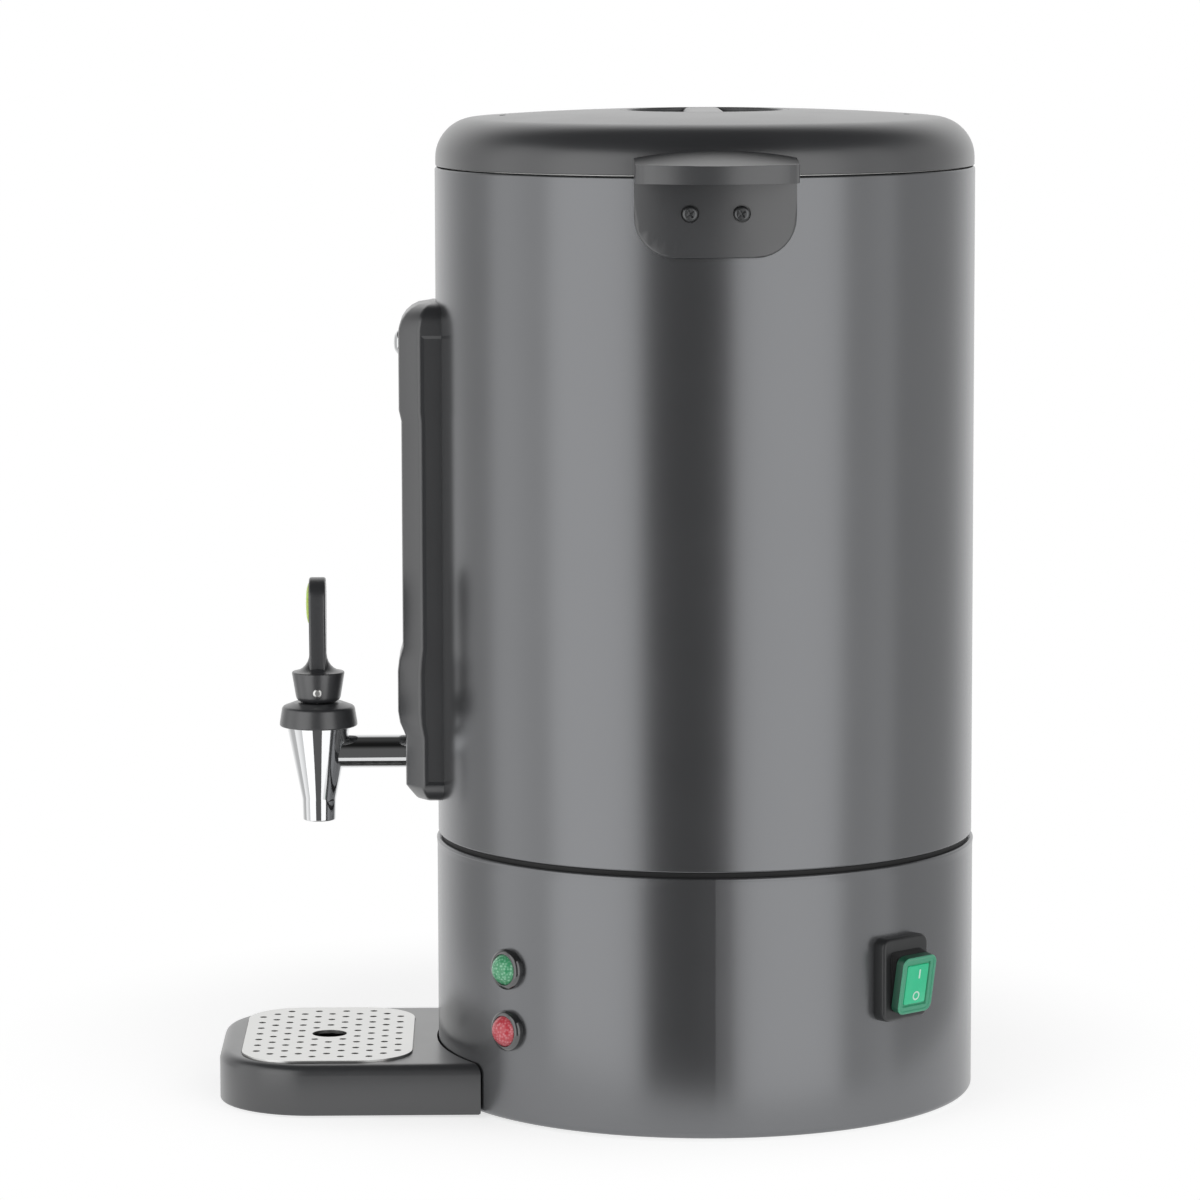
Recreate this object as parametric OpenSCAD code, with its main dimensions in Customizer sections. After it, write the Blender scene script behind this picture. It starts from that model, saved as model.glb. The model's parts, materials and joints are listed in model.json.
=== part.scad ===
// Coffee urn: a double-walled drum on a base, with a self-closing tap, a sight glass and a drip tray.
// Z is up from the table, the drum's axis is at X = Y = 0, and the tap faces -Y.

/* [Drum] */
// Outer diameter of the drum
drum_d = 238; // [222:1:262]
// Sheet thickness of the outer shell
shell_wall = 1; // [0.8:0.1:1.4]
// Height of the outer shell, from the seam to the rim
shell_h = 295.8; // [280:0.1:330]
// Air gap between the shell and the tank
tank_gap = 8; // [7:0.5:10]
// Sheet thickness of the tank
tank_wall = 1; // [0.8:0.1:1.4]
// How far the tank's bottom stands above the shell's lower edge
tank_lift = 3; // [2:0.5:6]
// Radius of the tank's bottom edge
tank_edge = 10; // [6:1:16]
// How far the tank's rim stays back from the shell's face
rim_inset = 3.4; // [3.2:0.1:4.5]

/* [Base] */
// Height of the base housing, from its lower edge to the seam
base_h = 113.4; // [105:0.1:125]
// How far the base stands proud of the drum
base_step = 0.5; // [0.3:0.1:1.5]
// Sheet thickness of the base housing
base_wall = 1.2; // [1:0.1:1.6]
// Radius of the hem along the lower edge
hem_r = 2.5; // [2:0.1:3.5]
// How far the bead along the upper edge stands out
bead_out = 0.3; // [0.2:0.1:0.6]
// Height of the rubber seam between base and drum
seam_h = 1.8; // [1.2:0.1:3]
// How far the seam lies behind the drum's face
seam_inset = 1.5; // [1:0.1:3]
// Gap between the table and the base's lower edge
foot_drop = 1.5; // [1:0.1:4]
// Height of the bottom plate's seat above the lower edge
plate_up = 4.5; // [4:0.1:6]
// Thickness of the bottom plate
plate_t = 1.2; // [1:0.1:2]
// Width of the ring that the bottom plate seats on
seat_w = 10; // [8:0.5:14]
// Radius of the foot ring's middle
foot_ring_r = 99; // [92:1:100]
// Width of the foot ring
foot_ring_w = 9; // [7:0.5:11]

/* [Lid] */
// How far the lid stays behind the drum's face
lid_step = 0.3; // [0.2:0.1:1]
// Height of the lid's straight side
lid_side = 3; // [2:0.1:8]
// Radius of the lid's upper edge
lid_edge = 17.5; // [12:0.5:19]
// Height of the lid's middle above its straight side
lid_rise = 21; // [20:0.1:25]
// Wall of the lid moulding
lid_wall = 2.5; // [2:0.1:3]
// Diameter of the grip recess
recess_d = 69; // [60:1:80]
// Depth of the grip recess
recess_depth = 19; // [15:0.5:20]
// Width of the grip bar
grip_w = 18; // [14:0.5:22]
// Thickness of the grip bar
grip_t = 9; // [7:0.5:10]
// Depth of the lid's steel liner below the lid's edge
plug_depth = 8.5; // [7:0.5:12]

/* [Handles] */
// Width of a handle
handle_w = 68.4; // [60:0.2:76]
// How far a handle reaches out from the drum
handle_reach = 32.5; // [26:0.5:38]
// How far the handle's plate hangs below the rim
handle_drop = 34; // [30:0.5:44]
// Thickness of the handle's plate
handle_t = 3; // [2.5:0.1:4.5]
// Radius of the plate's lower corners
handle_corner = 17; // [12:0.5:20]
// How far the underside of the grip lies below the rim
grip_under = 1.9; // [1:0.1:4]
// Height of the grip's front face
grip_face = 7.6; // [6:0.1:9]
// Height of the grip's arched back above its front face
grip_arch = 6.5; // [4:0.1:8]
// How far the arch falls at the ends of the grip
grip_fall = 4.2; // [2:0.1:5]
// Radius of the grip's bowed front
grip_bow = 65; // [60:1:90]
// Radius of the grip's front corners
grip_corner = 8; // [5:0.5:12]
// Distance between a handle's two screws
handle_pitch = 21.7; // [18:0.1:26]
// Distance of the screws below the rim
handle_screw_drop = 15.3; // [13:0.1:18]

/* [Tap] */
// Height of the shank's axis above the seam
tap_up = 37.4; // [34:0.1:44]
// Distance of the tap's axis from the drum's face
tap_reach = 53.2; // [49:0.1:62]
// Distance of the spout's mouth below the shank's axis
tap_drop = 30.7; // [29:0.1:36]
// Length of the straight spout
spout_len = 9.4; // [6:0.1:14]
// Outer radius of the spout's mouth
spout_r = 7.25; // [6.8:0.05:8.5]
// Bore radius of the spout
spout_bore = 4.8; // [4:0.1:5]
// Height of the cone
cone_h = 33; // [30:0.1:36]
// Radius of the cone's upper end
cone_r = 14; // [13.6:0.1:15]
// Radius of the shank in front of the drum
shank_r = 7.3; // [6.8:0.1:8]
// Radius of the shank's threaded end
thread_r = 6.2; // [5.6:0.1:6.4]
// Bore radius of the shank
shank_bore = 4.2; // [3:0.1:4.6]
// Radius of the valve chamber
chamber_r = 7.5; // [7.2:0.1:8]
// Height of the valve seat above the spout's mouth
seat_up = 21.4; // [20:0.1:24]
// Radius of the bonnet's lower edge
bonnet_r = 17.5; // [16.5:0.1:20]
// Height of the bonnet's side
bonnet_h = 9; // [8:0.1:12]
// Height of the bonnet's crown above its side
bonnet_crown = 1.6; // [1:0.1:2.5]
// Radius of the valve stem
stem_r = 2.6; // [2.3:0.1:2.8]

/* [Lever] */
// Height of the lever
lever_h = 55.7; // [48:0.1:66]
// Thickness of the lever's blade
lever_t = 7.4; // [5.5:0.1:9]
// Width of the lever's neck
neck_w = 13; // [11:0.5:17]
// Radius of the lever's round head
head_r = 11; // [10:0.1:14]
// Radius of the boot's lower end
boot_low_r = 9.6; // [9.2:0.1:10.2]
// Radius of the boot's upper end
boot_top_r = 11.8; // [11:0.1:13]
// Height of the boot
boot_h = 13.5; // [12:0.1:16]
// Radius of the boot's rolling lower edge
cam_r = 3; // [2.6:0.1:3.2]
// Height of the pivot pin above the boot's foot
pin_up = 4.9; // [4.5:0.1:5.2]
// Radius of the pivot pin
pin_r = 1.6; // [1.3:0.1:1.8]
// Radius of the pin's riveted heads
pin_head_r = 2.2; // [2:0.1:2.6]
// Radius of the coloured insert
insert_r = 9; // [7:0.1:9.5]
// How far the insert's dome stands out
insert_out = 0.9; // [0.6:0.1:1.5]

/* [Sight glass] */
// Half the width of the gauge cover
cover_half = 26; // [24:0.1:30]
// Height of the cover's lower end above the seam
cover_up = 17.5; // [15:0.1:19]
// Height of the cover
cover_h = 220.8; // [214:0.1:232]
// How far the cover's front stands out from the drum
cover_out = 15.2; // [15:0.1:18]
// How far the side walls stand out from the drum
cover_side = 8; // [6:0.1:10]
// How far the lower boss stands out in front of the cover
boss_low = 2.3; // [1:0.1:3]
// How far the upper boss stands out in front of the cover
boss_top = 1.1; // [0.5:0.1:2]
// Wall of the cover
cover_wall = 2.6; // [2.2:0.1:3]
// Corner radius of the cover seen from the front
cover_corner = 10; // [6:0.5:14]
// Outer radius of the glass tube
glass_r = 3.4; // [3:0.1:3.6]
// Wall of the glass tube
glass_wall = 1; // [0.8:0.1:1.4]
// Height of the glass tube's lower end above the shank's axis
glass_up = 13; // [12.5:0.1:15]
// Distance of the glass tube's upper end below the cap screw
glass_drop = 15.7; // [14:0.1:22]
// Width of the window in the cover
window_w = 7.2; // [6:0.2:9]
// Distance of the window's upper end below the cover's upper end
window_drop = 55; // [50:0.5:62]
// Height of the window's lower end above the shank's axis
window_up = 52; // [48:0.5:56]
// Distance of the cap screw below the cover's upper end
cap_screw_drop = 18.2; // [17:0.1:20]
// Radius of the cap screw's head
cap_screw_r = 5.3; // [4.5:0.1:6]

/* [Lamps and switch] */
// Angle of the lamps from the handle, towards the tap
lamp_turn = 47.5; // [40:0.5:56]
// Height of the lower lamp above the table
lamp_z = 41.7; // [36:0.1:46]
// Distance between the lamps
lamp_pitch = 27.1; // [24:0.1:34]
// Outer radius of a lamp's bezel
lamp_r = 9; // [8.6:0.1:11]
// How far a lamp's bezel stands out
lamp_out = 3.4; // [2.5:0.1:5]
// Radius of a lamp's threaded barrel
barrel_r = 6; // [5.6:0.1:6.4]
// Angle of the switch from the handle, away from the tap
switch_turn = 41.9; // [36:0.1:50]
// Height of the switch's middle above the table
switch_z = 66.1; // [58:0.1:74]
// Width of the switch's frame
switch_w = 27.5; // [27:0.1:32]
// Height of the switch's frame
switch_h = 36.2; // [33:0.1:40]
// How far the frame stands out from the base
switch_out = 5.5; // [5:0.1:7]
// Width of the rocker's cap
cap_w = 20.5; // [18:0.1:22]
// Height of the rocker's cap
cap_h = 25.5; // [23:0.1:27]
// Thickness of the rocker's cap
cap_t = 4.2; // [3:0.1:6]
// Tilt of the rocker to either side
rocker_tilt = 9.4; // [7:0.1:10]
// Radius of the rocker's trunnions
trunnion_r = 1.6; // [1.3:0.1:2]

/* [Drip tray] */
// Width of the tray
tray_w = 132; // [120:1:150]
// How far the tray reaches out from the drum
tray_reach = 97.5; // [91:0.5:112]
// Height of the tray's upper face above the table
tray_top = 23.2; // [20:0.1:28]
// Corner radius of the tray's front
tray_corner = 42; // [36:1:46]
// Radius of the tray's upper edge
tray_edge = 4.5; // [3:0.1:5]
// Thickness of the tray's floor
tray_floor = 2.8; // [2:0.1:4]
// Gap between the tray and the base
tray_gap = 0.8; // [0.5:0.1:1]
// Width of the drip grid
grid_w = 118; // [104:1:120]
// Length of the drip grid
grid_len = 75.4; // [70:0.2:80]
// Thickness of the drip grid
grid_t = 1.5; // [1:0.1:2]
// Distance of the grid's middle from the drum's face
grid_out = 49.5; // [47:0.5:51]
// Corner radius of the grid
grid_corner = 24; // [20:1:28]
// Radius of the small holes
hole_r = 1.6; // [1:0.1:2.2]
// Pitch of the holes from row to row
row_pitch = 6.25; // [5.5:0.05:6.3]
// Radius of the finger hole in the middle
finger_r = 7.75; // [7:0.05:9]

/* [Brewing parts] */
// Outer radius of the pump tube
tube_r = 4.5; // [4:0.1:5.5]
// Wall of the pump tube
tube_wall = 1; // [0.6:0.1:1.2]
// Distance of the tube's upper end below the rim
tube_drop = 15; // [13:0.5:20]
// Radius of the filter basket
basket_r = 70; // [55:1:80]
// Height of the filter basket
basket_h = 55; // [45:1:70]
// Sheet thickness of the basket and its lid
basket_wall = 0.8; // [0.6:0.1:1.2]
// Radius of the pump's foot
pump_foot_r = 26; // [20:0.5:32]
// Height of the pump's foot
pump_foot_h = 14; // [11:0.5:20]

/* [Hidden] */
$fn = 96;

// Clearances
fit = 0.1;      // between seated pieces of one body
run = 0.05;     // radial, round a pin or a sliding stem
free = 0.4;     // between pieces that move past each other
drill = 0.2;    // radial, in a hole for a screw or a stud
far = 400;      // longer than anything that it cuts

// Radii of the drum's walls
drum_r = drum_d / 2;
base_r = drum_r + base_step;
base_in = base_r - base_wall;
shell_in = drum_r - shell_wall;
tank_out = shell_in - tank_gap;
tank_in = tank_out - tank_wall;
rim_r = drum_r - rim_inset;
lip_r = tank_out + 0.6;

// Heights from the table
skirt_z = foot_drop;
plate_z = skirt_z + plate_up - plate_t;
seat_z = skirt_z + plate_up;
seam_z = skirt_z + base_h;
shell_z = seam_z + seam_h;
tank_z = shell_z + tank_lift;
floor_z = tank_z + tank_wall;
rim_z = shell_z + shell_h;
lid_z = rim_z + tank_wall;
lid_low = rim_z + free;
tap_z = seam_z + tap_up;
cover_z = seam_z + cover_up;

// Lid: an edge arc that runs tangent into a shallow spherical crown
lid_r = drum_r - lid_step;
lid_arc_r = lid_r - lid_edge;
lid_arc_z = lid_z + lid_side;
lid_top = lid_arc_z + lid_rise;
crown_r = (pow(lid_arc_r, 2) + pow(lid_rise, 2) - pow(lid_edge, 2)) / (2 * (lid_rise - lid_edge));
crown_z = lid_top - crown_r;
crown_a = acos(lid_arc_r / (crown_r - lid_edge));
recess_r = recess_d / 2;
grip_out_r = recess_r + lid_wall;
recess_z = lid_top - recess_depth;
liner_t = 0.8;
liner_z = lid_z - plug_depth;
gasket_w = 3;
plug_r = tank_in - gasket_w - free;
boss_r = 4;
boss_pc = 72;
lid_screw_r = 1.75;
lid_screw_len = 11.5;

// Tap, along its own axis
tap_y = -(drum_r + tap_reach);
tip_z = tap_z - tap_drop;
cone_z = tip_z + spout_len;
bonnet_z = cone_z + cone_h;
cam_z = bonnet_z + bonnet_h + bonnet_crown;
valve_z = tip_z + seat_up;
neck_r = cone_r - 1.4;
neck_h = 5.2;
ceiling_z = bonnet_z + neck_h + drill;
boot_z = cam_z + 2 * fit;
pin_z = boot_z + pin_up;
cup_r = chamber_r - 1;
cup_h = 6;
cup_z = valve_z + fit;
collar_z = cup_z + cup_h;
collar_t = 1.2;
coil_r = 5.2;
wire_r = 0.6;
coils = 6;
head_z = boot_z + lever_h - head_r;
insert_z = head_z - 2.5;
insert_seat = 1;

// Stack of pieces along the shank
tee_back = drum_r + 1.3;
tee_front = drum_r + cover_out - cover_wall - 0.4;
tee_r = 11.4;
washer_r = 11.8;
washer_t = 3;
shank_nut_t = 6;
shank_nut_r = 13.8;
shank_end = tank_in - washer_t - shank_nut_t - 2.5;
glass_out = (tee_back + tee_front) / 2;
seal_t = 1.2;
socket_r = glass_r + seal_t + run;
socket_wall = (tee_front - tee_back) / 2 - socket_r;
glass_z = tap_z + glass_up;
cap_screw_z = cover_z + cover_h - cap_screw_drop;
glass_top = cap_screw_z - glass_drop;
glass_len = glass_top - glass_z;
window_z = tap_z + window_up;
window_h = cover_z + cover_h - window_drop - window_z;
m4_r = 2;
handle_head_r = 3.3;
nut_t = 3;
nut_r = 4.05;
cover_bow = 13.3;

// Switch, in its own frame on the wall
body_w = 22;
body_h = 28;
body_d = 24;
pocket_w = 16.4;
pocket_h = 24;
pocket_d = 12;
stalk_h = 17;
cap_back = switch_out + free + cap_h / 2 * sin(rocker_tilt) + 0.2;
cap_front = cap_back + cap_t;
window_t = 0.8;

// Drip tray
tray_z = 0.9;
tray_y = -(drum_r + tray_reach);
grid_y = -(drum_r + grid_out);
grid_z = tray_top - 0.5;
tongue_w = 40;
tongue_t = 3;
tongue_len = 13;
tongue_z = seat_z + base_wall + 0.8;

// Brewing parts
tube_top = rim_z - tube_drop;
basket_z = tube_top - basket_h - 18;

// Places of the small fixings
stud_r = 3;
stud_pc = 80;
stud_angles = [30, 150, 270];
stud_end = 1.3;
peg_r = 2.4;
gland_z = 32;
gland_turn = 140;
gland_r = 9.5;
gland_thread = 6.5;
cable_r = 3.7;

function arc(c, r, a0, a1, n = 12) =
    [for (i = [0:n]) let (a = a0 + (a1 - a0) * i / n) [c[0] + r * cos(a), c[1] + r * sin(a)]];

function reversed(list) = [for (i = [len(list) - 1:-1:0]) list[i]];

// Half section of the lid's outside, drawn in by t, from radius r0 out to the lower edge
function lid_line(t, r0) = concat(
    [for (i = [0:14])
        let (r = r0 + (crown_r - t) * cos(crown_a) * i / 14 - r0 * i / 14)
        [r, crown_z + sqrt(pow(crown_r - t, 2) - r * r)]],
    arc([lid_arc_r, lid_arc_z], lid_edge - t, crown_a, 0),
    [[lid_r - t, lid_low]]
);

// Where a flat face of half-width w meets the inside of a round wall of radius r
function chord(r, w) = sqrt(r * r - w * w);

// Frame on the drum's side at angle a: x runs round, y up and z outwards from radius r
module on_wall(a, z, r = 0) {
    rotate([0, 0, a]) translate([r, 0, z]) rotate([90, 0, 90]) children();
}

// Rod along a radius, from radius r0 to radius r1
module spoke(a, z, r0, r1, r) {
    on_wall(a, z, r0) cylinder(r = r, h = r1 - r0);
}

module tube(r_out, r_in, h) {
    difference() {
        cylinder(r = r_out, h = h);
        translate([0, 0, -1]) cylinder(r = r_in, h = h + 2);
    }
}

module at_tap(z = 0) {
    translate([0, tap_y, z]) children();
}

// Flat rectangle w by h with round corners, centred
module round_rect(w, h, r) {
    square([w - 2 * r, h], center = true);
    square([w, h - 2 * r], center = true);
    for (x = [-1, 1], y = [-1, 1])
        translate([x * (w / 2 - r), y * (h / 2 - r)]) circle(r = r);
}

// Everything inside radius r, to hollow out pieces that hug the drum
module drum_core(r) {
    translate([0, 0, -far]) cylinder(r = r, h = 3 * far, $fn = 240);
}

module hex_nut(r, bore, t) {
    difference() {
        cylinder(r = r, h = t, $fn = 6);
        translate([0, 0, -1]) cylinder(r = bore, h = t + 2);
    }
}

// Drum

module outer_shell() {
    edge = 1.4;
    color("#66676a") difference() {
        rotate_extrude() polygon(concat(
            [[lip_r, shell_z], [drum_r, shell_z]],
            arc([drum_r - edge, rim_z - edge], edge, 0, 90, 6),
            [[lip_r, rim_z], [lip_r, rim_z - shell_wall], [shell_in, rim_z - shell_wall],
             [shell_in, shell_z + shell_wall], [lip_r, shell_z + shell_wall]]
        ));
        spoke(-90, tap_z, shell_in - 5, drum_r + 5, thread_r + drill);
        spoke(-90, cap_screw_z, shell_in - 5, drum_r + 5, m4_r + drill);
        handle_holes(shell_in - 5, drum_r + 5);
    }
}

module inner_tank() {
    color("#c9cacb") difference() {
        rotate_extrude() polygon(concat(
            [[0, tank_z]],
            arc([tank_out - tank_edge, tank_z + tank_edge], tank_edge, -90, 0, 8),
            [[tank_out, rim_z], [rim_r, rim_z], [rim_r, lid_z], [tank_in, lid_z]],
            arc([tank_out - tank_edge, tank_z + tank_edge], tank_edge - tank_wall, 0, -90, 8),
            [[0, floor_z]]
        ));
        spoke(-90, tap_z, tank_in - 5, tank_out + 5, thread_r + drill);
    }
}

module base_housing() {
    color("#5f6063") difference() {
        rotate_extrude() polygon(concat(
            arc([base_r - hem_r, skirt_z + hem_r], hem_r, -90, 0, 8),
            [[base_r, seam_z - 4]],
            arc([base_r + bead_out - 1.2, seam_z - 1.2], 1.2, -20, 90, 8),
            [[lip_r, seam_z], [lip_r, seam_z - base_wall], [base_in, seam_z - base_wall],
             [base_in, seat_z + base_wall], [base_r - seat_w, seat_z + base_wall],
             [base_r - seat_w, seat_z], [base_in, seat_z], [base_in, skirt_z + hem_r]]
        ));
        for (z = [lamp_z, lamp_z + lamp_pitch])
            spoke(-lamp_turn, z, base_in - 5, base_r + 5, barrel_r + drill);
        spoke(gland_turn, gland_z, base_in - 5, base_r + 5, gland_thread + drill);
        on_wall(switch_turn, switch_z, base_in - 5)
            linear_extrude(base_wall + 10) square([body_w + 2 * drill, body_h + 2 * drill], center = true);
        translate([-tongue_w / 2 - free, -base_r - 5, tongue_z - free])
            cube([tongue_w + 2 * free, tongue_len + 5, tongue_t + 2 * free]);
    }
}

module seam_gasket() {
    color("#1b1b1c") translate([0, 0, seam_z]) tube(drum_r - seam_inset, lip_r, seam_h);
}

module bottom_plate() {
    vent_w = 4;
    color("#8f9091") difference() {
        translate([0, 0, plate_z]) cylinder(r = base_r - hem_r - 0.6, h = plate_t);
        for (a = stud_angles)
            rotate([0, 0, a]) translate([stud_pc, 0, plate_z - 1])
                cylinder(r = stud_r + drill, h = plate_t + 2);
        foot_pegs(peg_r + drill, plate_z - 1, plate_t + 2);
        for (a = [0:60:300], i = [-1:1])
            rotate([0, 0, a]) translate([24, i * 2 * vent_w - vent_w / 2, plate_z - 1])
                cube([26, vent_w, plate_t + 2]);
    }
}

module foot_pegs(r, z, h) {
    for (a = [45:90:315])
        rotate([0, 0, a]) translate([foot_ring_r, 0, z]) cylinder(r = r, h = h);
}

module foot_ring() {
    color("#1d1d1e") {
        tube(foot_ring_r + foot_ring_w / 2, foot_ring_r - foot_ring_w / 2, plate_z);
        foot_pegs(peg_r, plate_z - 1, plate_t + 1 + fit);
        foot_pegs(peg_r + 0.9, seat_z + fit, 1.6);
    }
}

module tank_studs() {
    color("#b9babb") for (a = stud_angles)
        rotate([0, 0, a]) translate([stud_pc, 0, stud_end]) cylinder(r = stud_r, h = tank_z - stud_end);
}

module stud_nuts() {
    color("#b0b1b2") for (a = stud_angles)
        rotate([0, 0, a]) translate([stud_pc, 0, plate_z - nut_t]) hex_nut(5.8, stud_r + run, nut_t);
}

// Electrics

module heater() {
    plate_r = 58;
    disc_t = 5;
    ring_r = 44;
    sheath_r = 3.6;
    pin_len = 22;
    color("#a7a8a6") {
        translate([0, 0, tank_z - disc_t]) cylinder(r = plate_r, h = disc_t);
        translate([0, 0, tank_z - disc_t - 2])
            rotate([0, 0, 112]) rotate_extrude(angle = 316) translate([ring_r, 0]) circle(r = sheath_r);
        for (a = [70, 110])
            rotate([0, 0, a]) translate([ring_r, 0, tank_z - disc_t - pin_len])
                cylinder(r = 2.6, h = pin_len);
    }
}

// Bimetal disc with a flange and two blade terminals, against the tank's bottom
module heat_switch(a) {
    rotate([0, 0, a]) translate([70, 0, tank_z]) {
        translate([0, 0, -4]) cylinder(r = 9.5, h = 4);
        translate([0, 0, -13]) cylinder(r = 8, h = 10);
        for (y = [-4, 4])
            translate([-3, y - 0.4, -21]) cube([6, 0.8, 9]);
    }
}

module thermostat() {
    color("#d8d2c4") heat_switch(100);
}

module dry_cutout() {
    color("#c9bfa8") heat_switch(215);
}

module terminal_block() {
    block = [34, 16, 18];
    color("#e4e2dc") translate([-block[0] / 2, 52, seat_z]) difference() {
        cube(block);
        for (i = [0:2]) {
            translate([6 + i * 11, block[1] / 2, block[2] - 9]) cylinder(r = 2.6, h = 10);
            translate([6 + i * 11, -1, 6]) rotate([-90, 0, 0]) cylinder(r = 2.2, h = block[1] + 2);
        }
    }
}

module cable_gland() {
    flange = 5;
    dome = 6;
    color("#1f1f20") difference() {
        union() {
            difference() {
                on_wall(gland_turn, gland_z) rotate_extrude() polygon(concat(
                    [[0, base_r - 2], [gland_r, base_r - 2], [gland_r, base_r + flange - 1]],
                    arc([gland_r - 3.5, base_r + flange + dome - 3.5], 3.5, 20, 90, 5),
                    [[0, base_r + flange + dome]]
                ));
                drum_core(base_r + fit);
            }
            spoke(gland_turn, gland_z, base_in - 12, base_r + 2, gland_thread);
        }
        spoke(gland_turn, gland_z, base_in - 20, base_r + 30, cable_r);
    }
}

module gland_nut() {
    r = 10.5;
    t = 4;
    color("#242425") on_wall(gland_turn, gland_z, chord(base_in, r) - fit - t)
        hex_nut(r, gland_thread + run, t);
}

// Lamps: a ring that hugs the wall, with a barrel through it, and a domed lens

module lamp_bezel(z) {
    well_r = lamp_r - 2.2;
    color("#222223") difference() {
        union() {
            difference() {
                on_wall(-lamp_turn, z) rotate_extrude() polygon(concat(
                    [[0, base_r - 2], [lamp_r, base_r - 2]],
                    arc([lamp_r - 1.4, base_r + lamp_out - 1.4], 1.4, 0, 90, 5),
                    [[0, base_r + lamp_out]]
                ));
                drum_core(base_r + fit);
            }
            spoke(-lamp_turn, z, base_in - 20, base_r + 1, barrel_r);
        }
        spoke(-lamp_turn, z, base_r + lamp_out - 2, base_r + lamp_out + 5, well_r);
        spoke(-lamp_turn, z, base_in - 25, base_r + lamp_out, barrel_r - 1.5);
    }
}

module lamp_lens(z) {
    rim = lamp_r - 2.2 - fit;
    seat = base_r + lamp_out - 2 + fit;
    lift = 4.6;
    dome_r = (rim * rim + lift * lift) / (2 * lift);
    on_wall(-lamp_turn, z) rotate_extrude() polygon(concat(
        [[0, seat - 14], [barrel_r - 1.5 - fit, seat - 14], [barrel_r - 1.5 - fit, seat], [rim, seat]],
        arc([0, seat + 1.4 + lift - dome_r], dome_r, asin((dome_r - lift) / dome_r), 90)
    ));
}

module green_lamp_bezel() { lamp_bezel(lamp_z + lamp_pitch); }
module green_lamp_lens() { color("#2f9a5b") lamp_lens(lamp_z + lamp_pitch); }
module red_lamp_bezel() { lamp_bezel(lamp_z); }
module red_lamp_lens() { color("#d23b40") lamp_lens(lamp_z); }

module lamp_nuts() {
    r = barrel_r + 3;
    t = 3;
    color("#b0b1b2") for (z = [lamp_z, lamp_z + lamp_pitch])
        on_wall(-lamp_turn, z, chord(base_in, r) - fit - t) hex_nut(r, barrel_r + run, t);
}

// Switch: a frame with a body through the wall, a rocker on trunnions and a rubber skirt between them

module in_switch() {
    on_wall(switch_turn, switch_z, base_r) children();
}

module in_rocker() {
    in_switch() rotate([rocker_tilt, 0, 0]) children();
}

module switch_frame() {
    lean = 1.2;
    color("#262627") difference() {
        union() {
            difference() {
                in_switch() {
                    translate([0, 0, -2])
                        linear_extrude(switch_out + 2 - lean) round_rect(switch_w, switch_h, 4);
                    translate([0, 0, switch_out - lean - fit])
                        linear_extrude(lean + fit) round_rect(switch_w - 2 * lean, switch_h - 2 * lean, 3.5);
                }
                drum_core(base_r + fit);
            }
            in_switch() translate([0, 0, -body_d])
                linear_extrude(body_d + 1) square([body_w, body_h], center = true);
        }
        in_switch() {
            translate([0, 0, -pocket_d])
                linear_extrude(pocket_d + 10) square([pocket_w, pocket_h], center = true);
            rotate([0, 90, 0]) translate([0, 0, -pocket_w / 2 - 2])
                cylinder(r = trunnion_r + run, h = pocket_w + 4);
        }
    }
}

module switch_seal() {
    color("#1c1c1d") difference() {
        in_switch() translate([0, 0, switch_out]) linear_extrude(10) difference() {
            round_rect(cap_w - 0.6, cap_h - 0.6, 2.5);
            round_rect(cap_w - 3, cap_h - 3, 1.5);
        }
        in_rocker() translate([-30, -30, cap_back - fit]) cube([60, 60, 30]);
    }
}

module switch_rocker() {
    step = 0.9;
    color("#3aa676") in_rocker() {
        translate([0, 0, -4])
            linear_extrude(cap_back + 4.5) square([pocket_w - 2 * free, stalk_h], center = true);
        translate([0, 0, cap_back]) linear_extrude(cap_t - step) round_rect(cap_w, cap_h, 3);
        translate([0, 0, cap_back + cap_t - step - fit])
            linear_extrude(step + fit) round_rect(cap_w - 2 * step, cap_h - 2 * step, 2.4);
        rotate([0, 90, 0]) translate([0, 0, -pocket_w / 2 - 1.6])
            cylinder(r = trunnion_r, h = pocket_w + 3.2);
    }
}

module switch_window() {
    color("#49d09a") in_rocker() translate([0, 0, cap_front])
        linear_extrude(window_t) round_rect(cap_w - 8.3, cap_h - 8.8, 1);
}

// Handles

module handle_holes(r0, r1) {
    for (side = [0, 180], y = [-1, 1])
        rotate([0, 0, side]) translate([r0, y * handle_pitch / 2, rim_z - handle_screw_drop])
            rotate([0, 90, 0]) cylinder(r = m4_r + drill, h = r1 - r0);
}

// Slice of the grip across its width: flat underside, top arched by fall
module grip_slice(x, top, fall) {
    half = handle_w / 2;
    z0 = rim_z - grip_under;
    translate([x, 0, 0]) rotate([90, 0, 90]) linear_extrude(0.1) polygon(concat(
        [[-half, z0], [half, z0]],
        [for (i = [12:-1:-12]) [half * i / 12, top - fall * pow(i / 12, 2)]]
    ));
}

// Plan of the grip: a bowed front that runs tangent into round corners and straight sides
module grip_plan() {
    half = handle_w / 2;
    front = drum_r + handle_reach;
    cy = half - grip_corner;
    cx = front - grip_bow + sqrt(pow(grip_bow - grip_corner, 2) - cy * cy);
    a = asin(cy / (grip_bow - grip_corner));
    polygon(concat(
        [[drum_r - 25, half]],
        arc([cx, cy], grip_corner, 90, a, 8),
        arc([front - grip_bow, 0], grip_bow, a, -a, 16),
        arc([cx, -cy], grip_corner, -a, -90, 8),
        [[drum_r - 25, -half]]
    ));
}

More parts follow.
